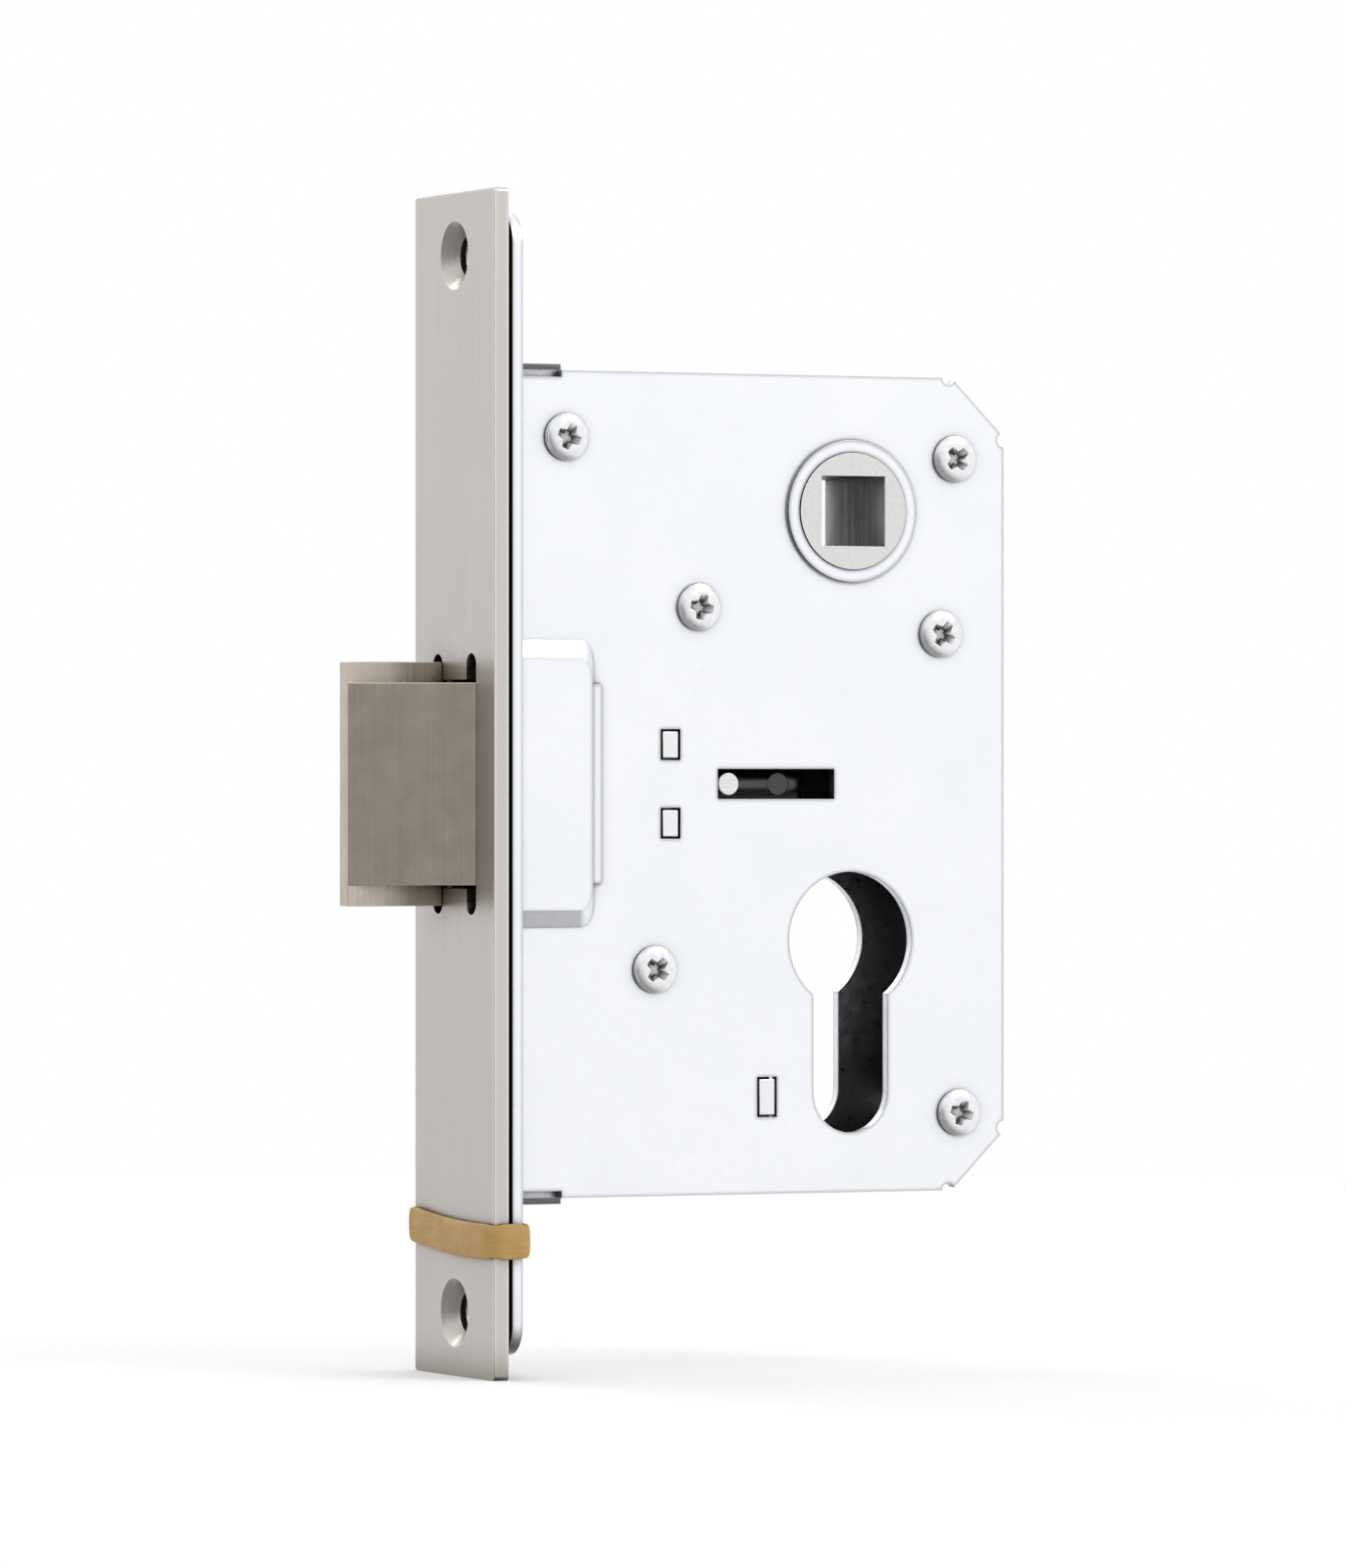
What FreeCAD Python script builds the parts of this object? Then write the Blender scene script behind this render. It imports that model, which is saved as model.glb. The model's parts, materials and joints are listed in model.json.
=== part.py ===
import FreeCAD, Part
import math
import os

import Sketcher
from FreeCAD import Placement, Rotation, Vector

# A mortise latch lock for an inward or outward opening door, in millimetres.
#
# Frame: the origin is the middle of the two forend fixing holes, on the front of the faceplate.
# +X goes into the door, so the latch points along -X. +Y goes from the screwed cover to the tray
# behind it, across the thickness of the door. +Z is up. Every piece is drawn with the latch out.

DIMENSIONS = (
    # the two strips that show in the edge of the door
    ("face_length", 150.0),
    ("face_width", 25.0),
    ("face_thickness", 2.0),
    ("face_corner", 0.6),
    ("plate_gap", 0.7),
    ("forend_length", 144.0),
    ("forend_width", 24.0),
    ("forend_thickness", 1.5),
    ("forend_corner", 4.0),
    ("fixing_pitch", 134.0),
    ("fixing_hole", 5.0),
    ("fixing_countersink", 8.7),
    # the case
    ("case_height", 104.8),
    ("case_depth", 69.8),
    ("case_thickness", 16.0),
    ("case_wall", 1.5),
    ("corner_cut", 7.5),
    ("fold_gap", 0.9),
    ("relief_radius", 0.9),
    ("boss_margin", 2.7),
    ("boss_depth", 11.5),
    ("boss_rise", 1.3),
    ("boss_slope", 2.2),
    ("boss_rear_slope", 0.65),
    ("boss_corner", 2.6),
    ("ledge_depth", 1.0),
    ("ledge_rise", 0.65),
    ("collar_rim", 1.6),
    ("collar_rise", 0.6),
    # where the handle and the key work
    ("backset", 50.0),
    ("spindle_above", 35.0),
    ("centres", 55.0),
    ("spindle_square", 9.0),
    ("handle_turn", 45.0),
    ("cylinder_hole", 17.5),
    ("cylinder_slot", 10.6),
    ("cylinder_height", 33.5),
    ("cylinder_screw_drop", 20.0),
    ("cylinder_screw_hole", 5.5),
    # the latch
    ("throw", 13.0),
    ("latch_height", 25.6),
    ("latch_proud", 0.1),
    ("flange_lip", 2.7),
    ("flange_thickness", 2.7),
    ("latch_inside", 11.0),
    ("latch_shoulder", 0.5),
    ("pocket_depth", 10.0),
    ("rod_socket", 3.0),
    ("latch_play", 0.2),
    ("notch_play", 1.0),
    ("rod_radius", 3.0),
    ("rod_play", 0.25),
    ("spring_wire", 1.0),
    ("spring_gap", 0.25),
    ("spring_turns", 8.0),
    # the guide bracket, the tail and its pin
    ("latch_end_room", 1.4),
    ("bracket_thickness", 2.2),
    ("bracket_height", 18.0),
    ("tenon_pitch", 10.0),
    ("tenon_height", 3.4),
    ("tenon_play", 0.28),
    ("tail_room", 4.7),
    ("tail_length", 17.7),
    ("rod_flat_depth", 0.6),
    ("rod_short", 3.0),
    ("tail_rivet_in", 3.0),
    ("tail_rivet_head", 0.5),
    ("tail_half", 4.5),
    ("tail_horn", 10.0),
    ("tail_horn_width", 6.0),
    ("tail_horn_slope", 3.0),
    ("key_flag_before", 9.0),
    ("key_flag_width", 3.0),
    ("key_flag_gap", 0.75),
    ("pin_radius", 1.5),
    ("pin_setback", 2.6),
    ("pin_short", 0.5),
    ("slot_play", 0.42),
    ("slot_end_play", 0.25),
    # the screw guide
    ("guide_before", 13.0),
    ("guide_thickness", 2.2),
    ("guide_height", 9.0),
    ("guide_tenon", 4.6),
    # the follower, its spring and the handle lever
    ("journal_radius", 7.5),
    ("journal_play", 0.08),
    ("journal_stand", 0.8),
    ("hub_shoulder", 0.9),
    ("hub_rim", 0.9),
    ("hub_flange_thickness", 2.5),
    ("hub_end_play", 0.3),
    ("rod_side_gap", 0.3),
    ("layer_end_gap", 0.7),
    ("hub_lobe", 2.2),
    ("lobe_stand", 2.1),
    ("hub_neck", 1.3),
    ("lobe_gap", 0.35),
    ("pivot_before_tail", 1.9),
    ("pivot_below", 12.5),
    ("lever_boss", 5.5),
    ("lever_lobe", 1.9),
    ("lever_play", 0.6),
    ("finger_short", 0.2),
    ("finger_tip", 0.9),
    ("stop_radius", 1.5),
    ("torsion_wire", 1.2),
    ("torsion_turns", 1.5),
    ("torsion_pitch", 1.3),
    ("torsion_gap", 0.8),
    ("bend_swell", 0.05),
    # pillars, screws, rivets and lugs
    ("top_front_in", 7.7),
    ("top_front_down", 8.5),
    ("top_rear_in", 7.2),
    ("top_rear_down", 10.5),
    ("middle_rear_in", 9.2),
    ("middle_rear_below", 15.7),
    ("low_front_before", 1.2),
    ("low_front_below", 10.8),
    ("low_rear_in", 6.6),
    ("low_rear_up", 10.0),
    ("pillar_radius", 3.0),
    ("pillar_spigot", 2.0),
    ("pivot_play", 0.06),
    ("screw_radius", 1.75),
    ("screw_head_radius", 3.0),
    ("screw_head_height", 1.2),
    ("screw_brim", 0.6),
    ("screw_dome_radius", 2.15),
    ("cross_arm", 1.7),
    ("cross_blade", 0.4),
    ("cross_depth", 0.8),
    ("screw_length", 8.0),
    ("lug_length", 8.6),
    ("lug_width", 9.0),
    ("lug_thickness", 0.9),
    ("lug_foot", 8.0),
    ("lug_rivet_in", 5.2),
    ("rivet_radius", 1.5),
    ("rivet_head_radius", 2.25),
    ("rivet_head_height", 0.9),
    # the rubber band that keeps the loose faceplate with the lock
    ("band_width", 4.5),
    ("band_thickness", 1.1),
    ("band_clear", 4.6),
    ("band_tilt", 3.2),
    ("band_gap", 0.05),
)

doc = FreeCAD.newDocument("mortise_lock")
sheet = doc.addObject("Spreadsheet::Sheet", "Sizes")


class Size:
    """A length or an angle, with the sheet formula that gives it, so that both always agree."""

    def __init__(self, value, formula):
        self.value = float(value)
        self.formula = formula

    def __add__(self, other):
        other = as_size(other)
        return Size(self.value + other.value, f"({self.formula} + {other.formula})")

    def __radd__(self, other):
        return as_size(other) + self

    def __sub__(self, other):
        other = as_size(other)
        return Size(self.value - other.value, f"({self.formula} - {other.formula})")

    def __rsub__(self, other):
        return as_size(other) - self

    def __mul__(self, other):
        other = as_size(other)
        return Size(self.value * other.value, f"({self.formula} * {other.formula})")

    def __rmul__(self, other):
        return as_size(other) * self

    def __truediv__(self, other):
        other = as_size(other)
        return Size(self.value / other.value, f"({self.formula} / {other.formula})")

    def __neg__(self):
        return Size(-self.value, f"(0 - {self.formula})")


def as_size(number):
    """Gives a plain number the form of a Size."""
    if isinstance(number, Size):
        return number
    return Size(number, f"({float(number):.6f})")


def sine(angle):
    return Size(math.sin(math.radians(angle.value)), f"sin({angle.formula})")


def cosine(angle):
    return Size(math.cos(math.radians(angle.value)), f"cos({angle.formula})")


def root(square):
    return Size(math.sqrt(square.value), f"sqrt({square.formula})")


def arc_cosine(ratio):
    return Size(math.degrees(math.acos(ratio.value)), f"(acos({ratio.formula}) / 1deg)")


def bearing(run, rise):
    """The angle of a direction, in degrees above +X."""
    value = math.degrees(math.atan2(rise.value, run.value))
    return Size(value, f"(atan2({rise.formula}; {run.formula}) / 1deg)")


class Sheet:
    """The named sizes, each written once in the document's spreadsheet."""

    def __init__(self, rows):
        for row, (name, value) in enumerate(rows, start=1):
            sheet.set(f"A{row}", name)
            sheet.set(f"B{row}", str(value))
            sheet.setAlias(f"B{row}", name)
            setattr(self, name, Size(value, f"Sizes.{name}"))


d = Sheet(DIMENSIONS)
doc.recompute()

# ---- Places worked out from the sizes ------------------------------------------------------

forend_front = d.face_thickness + d.plate_gap
case_front = forend_front + d.forend_thickness
case_rear = case_front + d.case_depth
case_top = d.case_height / 2
cover_out = -d.case_thickness / 2
cover_in = cover_out + d.case_wall
tray_out = d.case_thickness / 2
tray_in = tray_out - d.case_wall
axis_x = d.face_thickness + d.backset
spindle_z = d.spindle_above
cylinder_z = d.spindle_above - d.centres
screw_z = cylinder_z - d.cylinder_screw_drop

# the latch, and what is spaced out behind it along its travel
latch_side = tray_in + d.latch_proud
opening_side = latch_side + d.latch_play
flange_start = latch_side - d.flange_thickness
flange_height = d.latch_height + 2 * d.flange_lip
boss_height = flange_height + 2 * d.boss_margin
boss_end_x = case_front + d.boss_depth
head_rear = d.latch_inside
pocket_start = head_rear - d.pocket_depth
pocket_radius = d.rod_radius + d.spring_gap + d.spring_wire + 2 * d.spring_gap
spring_mean = d.rod_radius + d.spring_gap + d.spring_wire / 2
bracket_at = head_rear + d.throw + d.latch_end_room
tail_at = bracket_at + d.bracket_thickness + d.tail_room
tail_end = tail_at + d.tail_length
rod_tip = pocket_start - d.rod_socket
rod_end = tail_end - d.rod_short
tail_rivet_x = rod_end - d.tail_rivet_in
pin_x = tail_at + d.pin_setback
key_flag_at = axis_x - d.key_flag_before
key_flag_low = cylinder_z + d.cylinder_hole / 2 + d.key_flag_gap
guide_at = axis_x - d.guide_before

# the layer in which the hub's lobe, the lever and the tail plate meet
layer_start = d.rod_radius + d.rod_side_gap
layer_end = tray_in - d.layer_end_gap
tail_start = d.rod_radius - d.rod_flat_depth

# the rim of the case and the lugs on it
flange_end_z = case_top - d.case_wall
chamfer_x = case_rear - d.corner_cut
chamfer_z = case_top - d.corner_cut
lug_top = case_top + d.lug_thickness
lug_rivet_z = case_top - d.lug_foot / 2
lug_rivet_x = case_front + d.lug_rivet_in

band_below = case_top + d.band_clear

# the pillars, each measured from what it must stay clear of
pivot_x, pivot_z = tail_at - d.pivot_before_tail, spindle_z - d.pivot_below
PILLARS = {
    "pillar_top_front": (case_front + d.top_front_in, case_top - d.top_front_down),
    "pillar_top_rear": (case_rear - d.top_rear_in, case_top - d.top_rear_down),
    "pillar_middle_rear": (case_rear - d.middle_rear_in, spindle_z - d.middle_rear_below),
    "pillar_low_front": (
        bracket_at - d.low_front_before,
        -(d.latch_height / 2 + d.low_front_below),
    ),
    "pillar_low_rear": (case_rear - d.low_rear_in, -(case_top - d.low_rear_up)),
}
PIVOT = {"pillar_pivot": (pivot_x, pivot_z)}
SCREWED = {**PILLARS, **PIVOT}

# the follower: its lobe swings evenly to both sides of the line to the lever's pivot
journal_hole = d.journal_radius + d.journal_play
collar_radius = d.journal_radius + d.collar_rim
hub_radius = d.journal_radius + d.hub_shoulder
hub_reach = hub_radius + d.lobe_stand + d.hub_lobe
torsion_mean = d.journal_radius + d.torsion_gap + d.torsion_wire / 2
hub_flange_radius = torsion_mean + d.torsion_wire / 2 + d.hub_rim
coil_start = cover_in + d.spring_gap + d.torsion_wire / 2
coil_end = coil_start + d.torsion_pitch * d.torsion_turns
hub_flange_start = coil_end + d.torsion_wire / 2 + d.spring_gap / 2
hub_flange_end = hub_flange_start + d.hub_flange_thickness
hub_end = tray_in - d.hub_end_play

ALONG = {
    "x": Rotation(Vector(0, 1, 0), 90),
    "y": Rotation(Vector(1, 0, 0), -90),
    "z": Rotation(),
}
CUTTER_MARGIN = 1.0
# how far from one the product of two directions may be that count as parallel
PARALLEL = 1e-6
# the share of a turn that each swept piece of a spring covers
SPRING_SEGMENT = 0.25
finished = []

lobe_angle = bearing(pivot_x - axis_x, pivot_z - spindle_z) + d.handle_turn / 2
lobe_x = axis_x + hub_reach * cosine(lobe_angle)
lobe_z = spindle_z + hub_reach * sine(lobe_angle)
lobe_end_x = axis_x + hub_reach * cosine(lobe_angle - d.handle_turn)
lobe_end_z = spindle_z + hub_reach * sine(lobe_angle - d.handle_turn)
lobe_ray = bearing(lobe_x - pivot_x, lobe_z - pivot_z)
lever_swing = bearing(lobe_end_x - pivot_x, lobe_end_z - pivot_z) - lobe_ray
lobe_run, lobe_rise = lobe_x - pivot_x, lobe_z - pivot_z
finger_length = root(lobe_run * lobe_run + lobe_rise * lobe_rise) - d.finger_short
flank = d.hub_lobe + d.lobe_gap
stop_reach = d.hub_lobe + d.stop_radius + d.lobe_gap
stop_x = lobe_x - stop_reach * sine(lobe_angle)
stop_z = lobe_z + stop_reach * cosine(lobe_angle)

# the lever's foot stands so far below the pivot that its swing moves the tail by the throw
push_x = tail_at - d.lever_play - d.lever_lobe
foot_lean = pivot_x - push_x
push_drop = (d.throw - foot_lean * (1 - cosine(lever_swing))) / sine(lever_swing)

# the torsion spring's straight leg passes just inside the top rear pillar
anchor_x, anchor_z = PILLARS["pillar_top_rear"]
anchor_run, anchor_rise = anchor_x - axis_x, anchor_z - spindle_z
anchor_reach = root(anchor_run * anchor_run + anchor_rise * anchor_rise)
leg_offset = torsion_mean + d.pillar_radius + d.torsion_wire / 2 + d.pivot_play
leg_fan = arc_cosine(leg_offset / anchor_reach)
leg_angle = bearing(anchor_run, anchor_rise) - leg_fan
hook_angle = leg_angle - 360 * d.torsion_turns
hook_x = axis_x + torsion_mean * cosine(hook_angle)
hook_z = spindle_z + torsion_mean * sine(hook_angle)


# ---- Ways to make a shape ------------------------------------------------------------------


def link(thing, path, size):
    """Binds one property of a document object to its formula in the sheet."""
    thing.setExpression(path, as_size(size).formula)


def place(thing, x, y, z):
    link(thing, "Placement.Base.x", x)
    link(thing, "Placement.Base.y", y)
    link(thing, "Placement.Base.z", z)


def block(name, x, y, z):
    """A box between two values on each axis."""
    item = doc.addObject("Part::Box", name)
    for path, (low, high) in (("Length", x), ("Width", y), ("Height", z)):
        link(item, path, as_size(high) - low)
    place(item, x[0], y[0], z[0])
    return item


def rod(name, along, radius, start, end, side, up):
    """A cylinder along one axis from start to end; side and up place it on the other two."""
    item = doc.addObject("Part::Cylinder", name)
    link(item, "Radius", radius)
    link(item, "Height", as_size(end) - start)
    item.Placement = Placement(Vector(), ALONG[along])
    where = {"x": (start, side, up), "y": (side, start, up), "z": (side, up, start)}
    place(item, *where[along])
    return item


def cone(name, along, radii, start, end, side, up):
    """A cone along one axis, with its radius at the start and at the end."""
    item = doc.addObject("Part::Cone", name)
    link(item, "Radius1", radii[0])
    link(item, "Radius2", radii[1])
    link(item, "Height", as_size(end) - start)
    item.Placement = Placement(Vector(), ALONG[along])
    where = {"x": (start, side, up), "y": (side, start, up), "z": (side, up, start)}
    place(item, *where[along])
    return item


def join(name, *items):
    """One solid from pieces that touch or overlap."""
    item = doc.addObject("Part::MultiFuse", name)
    item.Shapes = list(items)
    item.Refine = True
    return item


def cut(name, base, *tools):
    """The base with every tool taken away."""
    item = doc.addObject("Part::Cut", name)
    item.Base = base
    item.Tool = tools[0] if len(tools) == 1 else join(name + "_tools", *tools)
    item.Refine = True
    return item


def overlap(name, *items):
    item = doc.addObject("Part::MultiCommon", name)
    item.Shapes = list(items)
    return item


def group(name, items):
    """Separate solids kept as one piece of the list, such as a set of equal screws."""
    item = doc.addObject("Part::Compound", name)
    item.Links = list(items)
    return item


def rounded(name, base, radius, wanted):
    """The base with the chosen edges rounded; wanted says yes or no to an edge."""
    doc.recompute()
    item = doc.addObject("Part::Fillet", name)
    item.Base = base
    edges = enumerate(base.Shape.Edges, start=1)
    item.Edges = [(i, radius, radius) for i, edge in edges if wanted(edge)]
    return item


def runs_along(edge, axis):
    """True for a straight edge parallel to an axis, given as a vector."""
    if not isinstance(edge.Curve, Part.Line):
        return False
    return abs(abs(edge.Curve.Direction.dot(axis)) - 1) < PARALLEL


def climbs(edge, middle):
    """True for a straight edge that leans away from both X and Z, behind a given place on X."""
    if not isinstance(edge.Curve, Part.Line):
        return False
    lean = abs(edge.Curve.Direction.y) > PARALLEL
    return lean and all(vertex.X > middle for vertex in edge.Vertexes)


def draw(sketch, corners):
    """A closed outline of straight edges, each corner held by two formulas."""
    points = [Vector(u.value, v.value, 0) for u, v in corners]
    first = sketch.GeometryCount
    count = len(points)
    for i, point in enumerate(points):
        sketch.addGeometry(Part.LineSegment(point, points[(i + 1) % count]), False)
    for i in range(count):
        following = first + (i + 1) % count
        sketch.addConstraint(Sketcher.Constraint("Coincident", first + i, 2, following, 1))
    for i, (u, v) in enumerate(corners):
        for direction, size in (("DistanceX", u), ("DistanceY", v)):
            rule = Sketcher.Constraint(direction, -1, 1, first + i, 1, size.value)
            number = sketch.addConstraint(rule)
            sketch.setExpression(f"Constraints[{number}]", size.formula)


def prism(name, plane, start, end, *outlines):
    """Outlines drawn in XZ (or XY) and padded from start to end along Y (or Z)."""
    body = doc.addObject("PartDesign::Body", name)
    sketch = body.newObject("Sketcher::SketchObject", name + "_outline")
    role = {"XZ": "XZ_Plane", "XY": "XY_Plane"}[plane]
    base_plane = [item for item in body.Origin.OriginFeatures if item.Role == role]
    sketch.AttachmentSupport = (base_plane[0], [""])
    sketch.MapMode = "FlatFace"
    # The XZ plane faces -Y, so a pad there grows from the far face towards the near one.
    offset = -as_size(end) if plane == "XZ" else as_size(start)
    link(sketch, "AttachmentOffset.Base.z", offset)
    for outline in outlines:
        draw(sketch, [(as_size(u), as_size(v)) for u, v in outline])
    pad = body.newObject("PartDesign::Pad", name + "_pad")
    pad.Profile = sketch
    link(pad, "Length", as_size(end) - start)
    return body


def finish(label, thing):
    """Marks a shape as a finished piece of the lock and gives it its name."""
    thing.Label = label
    finished.append(thing)
    return thing


# ---- The two strips in the edge of the door ------------------------------------------------


def latch_opening(name, back):
    """The cutter for the latch: a middle opening and a tall notch at each side of it."""
    reach = (-CUTTER_MARGIN, back + CUTTER_MARGIN)
    half = d.latch_height / 2 + 2 * d.latch_play
    notch_half = flange_height / 2 + d.notch_play
    notch_width = d.flange_thickness + 2 * d.latch_play
    middle = block(name + "_middle", reach, (-opening_side, opening_side), (-half, half))
    notches = []
    for side, word in ((-1, "near"), (1, "far")):
        centre = side * (opening_side - notch_width / 2)
        low, high = centre - notch_width / 2, centre + notch_width / 2
        straight = notch_half - notch_width / 2
        notches.append(block(f"{name}_{word}", reach, (low, high), (-straight, straight)))
        for end, tip in ((-1, "low"), (1, "high")):
            round_end = f"{name}_{word}_{tip}"
            notches.append(
                rod(round_end, "x", notch_width / 2, *reach, centre, end * straight)
            )
    return join(name, middle, *notches)


def fixing_holes(name, back, radius):
    ends = (-CUTTER_MARGIN, back + CUTTER_MARGIN)
    half = d.fixing_pitch / 2
    low = rod(name + "_low", "x", radius, *ends, 0, -half)
    high = rod(name + "_high", "x", radius, *ends, 0, half)
    return [low, high]


def faceplate():
    """The loose stainless strip: square ends, two countersunk holes and the latch opening."""
    half_width, half_length = d.face_width / 2, d.face_length / 2
    strip = block(
        "face_strip",
        (0, d.face_thickness),
        (-half_width, half_width),
        (-half_length, half_length),
    )
    strip = rounded(
        "face_corners", strip, d.face_corner.value, lambda edge: runs_along(edge, Vector(1, 0, 0))
    )
    wide, narrow = d.fixing_countersink / 2, d.fixing_hole / 2
    sinks = []
    for end, word in ((-1, "low"), (1, "high")):
        up = end * d.fixing_pitch / 2
        sinks.append(cone("face_sink_" + word, "x", (wide, narrow), 0, wide - narrow, 0, up))
    holes = fixing_holes("face_holes", d.face_thickness, narrow)
    opening = latch_opening("face_opening", d.face_thickness)
    finish("faceplate", cut("faceplate_shape", strip, opening, *sinks, *holes))


def inner_forend():
    """The strip that the case is riveted to, behind the faceplate, with rounded ends."""
    half_width, half_length = d.forend_width / 2, d.forend_length / 2
    strip = block(
        "forend_strip",
        (forend_front, case_front),
        (-half_width, half_width),
        (-half_length, half_length),
    )
    strip = rounded(
        "forend_corners", strip, d.forend_corner.value, lambda edge: runs_along(edge, Vector(1, 0, 0))
    )
    holes = fixing_holes("forend_holes", case_front, d.fixing_hole / 2)
    opening = latch_opening("forend_opening", case_front)
    screw = d.cylinder_screw_hole / 2
    sink = cone(
        "forend_screw_sink",
        "x",
        (screw + d.forend_thickness, screw),
        forend_front,
        case_front,
        0,
        screw_z,
    )
    rivets = []
    for end, word in ((-1, "low"), (1, "high")):
        name = "forend_rivet_hole_" + word
        rivets.append(
            rod(name, "x", d.rivet_radius, forend_front, case_front, 0, end * lug_rivet_z)
        )
    finish("inner_forend", cut("forend_shape", strip, opening, sink, *holes, *rivets))


# ---- The case ------------------------------------------------------------------------------

def case_outline():
    return [
        (case_front, -case_top),
        (case_front, case_top),
        (chamfer_x, case_top),
        (case_rear, chamfer_z),
        (case_rear, -chamfer_z),
        (chamfer_x, -case_top),
    ]


def fold_outlines():
    """The five folded edges of the tray, each parted from the next by a gap at the bend."""
    diagonal = d.fold_gap / root(as_size(2))
    skew = d.case_wall * root(as_size(2))
    rear_in = case_rear - d.case_wall
    rear = [
        (rear_in, -(chamfer_z - d.fold_gap)),
        (rear_in, chamfer_z - d.fold_gap),
        (case_rear, chamfer_z - d.fold_gap),
        (case_rear, -(chamfer_z - d.fold_gap)),
    ]
    outlines = [rear]
    for side in (-1, 1):
        front, back = case_front + d.lug_thickness, chamfer_x - d.fold_gap
        edge, inner = side * case_top, side * flange_end_z
        outlines.append([(front, inner), (front, edge), (back, edge), (back, inner)])
        start_x, start_z = chamfer_x + diagonal, case_top - diagonal
        end_x, end_z = case_rear - diagonal, chamfer_z + diagonal
        half = skew / 2
        outlines.append(
            [
                (start_x, side * start_z),
                (end_x, side * end_z),
                (end_x - half, side * (end_z - half)),
                (start_x - half, side * (start_z - half)),
            ]
        )
    return outlines


def boss(name, face, trim):
    """The raised field beside the latch, with rounded rear corners. It stands on a face of the
    case; trim makes its inner hollow the same shape, one wall smaller."""
    item = doc.addObject("Part::Wedge", name + "_field")
    half = boss_height / 2 - trim
    length = d.boss_depth - trim
    sizes = {
        "Xmin": 0,
        "Xmax": length,
        "X2min": 0,
        "X2max": length - d.boss_rear_slope,
        "Ymin": 0,
        "Ymax": d.boss_rise,
        "Zmin": -half,
        "Zmax": half,
        "Z2min": -(half - d.boss_slope),
        "Z2max": half - d.boss_slope,
    }
    for path, size in sizes.items():
        link(item, path, size)
    if face.value < 0:
        # The near side is the mirror image of the far one: the same wedge turned about X.
        item.Placement = Placement(Vector(), Rotation(Vector(1, 0, 0), 180))
    place(item, case_front, face, 0)
    middle = (case_front + length / 2).value
    return rounded(name, item, (d.boss_corner - trim).value, lambda edge: climbs(edge, middle))


def boss_ledge(name, face):
    """The low step behind the raised field, level with the middle of the latch."""
    side = -1 if face.value < 0 else 1
    reach = (face, face + side * d.ledge_rise)
    low, high = reach if side > 0 else reach[::-1]
    half = d.latch_height / 2 - d.latch_play
    return block(name, (case_front, boss_end_x + d.ledge_depth), (low, high), (-half, half))


def relief_notches(name, start, end):
    """Round reliefs at the four bends of the rear corners."""
    bends = []
    for side, word in ((-1, "low"), (1, "high")):
        middle = d.fold_gap / 2
        spots = (
            ("edge", chamfer_x - middle, case_top),
            ("rear", case_rear, chamfer_z - middle),
        )
        for spot, x, z in spots:
            item = f"{name}_{word}_{spot}"
            bends.append(rod(item, "y", d.relief_radius, start, end, x, side * z))
    return bends


def shared_holes(name, start, end):
    """Cutters for what goes through both side plates."""
    through = (start - CUTTER_MARGIN, end + CUTTER_MARGIN)
    tools = [rod(name + "_journal", "y", journal_hole, *through, axis_x, spindle_z)]
    tools.append(cylinder_cutter(name + "_cylinder", *through))
    slot_half = d.pin_radius + d.slot_play
    slot_start = pin_x - d.pin_radius - d.slot_end_play
    slot_end = pin_x + d.throw + d.pin_radius + d.slot_end_play
    tools.append(block(name + "_slot", (slot_start, slot_end), through, (-slot_half, slot_half)))
    tools.extend(tenon_sockets(name, through))
    return tools


def cylinder_cutter(name, start, end):
    """The profile hole for the key cylinder: a round above a round-ended slot."""
    slot = d.cylinder_slot / 2
    lowest = cylinder_z + d.cylinder_hole / 2 - d.cylinder_height
    foot = lowest + slot
    head = rod(name + "_head", "y", d.cylinder_hole / 2, start, end, axis_x, cylinder_z)
    leg = block(name + "_leg", (axis_x - slot, axis_x + slot), (start, end), (foot, cylinder_z))
    toe = rod(name + "_toe", "y", slot, start, end, axis_x, foot)
    return join(name, head, leg, toe)


def tenon_sockets(name, through):
    """Square holes for the tenons of the latch bracket and of the screw guide."""
    play = d.tenon_play
    tools = []
    bracket_x = (bracket_at - play, bracket_at + d.bracket_thickness + play)
    half = d.tenon_height / 2 + play
    for side, word in ((-1, "low"), (1, "high")):
        centre = side * d.tenon_pitch / 2
        where = (centre - half, centre + half)
        tools.append(block(f"{name}_bracket_{word}", bracket_x, through, where))
    guide_x = (guide_at - play, guide_at + d.guide_thickness + play)
    half = d.guide_tenon / 2 + play
    tools.append(block(name + "_guide", guide_x, through, (screw_z - half, screw_z + half)))
    return tools


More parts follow.
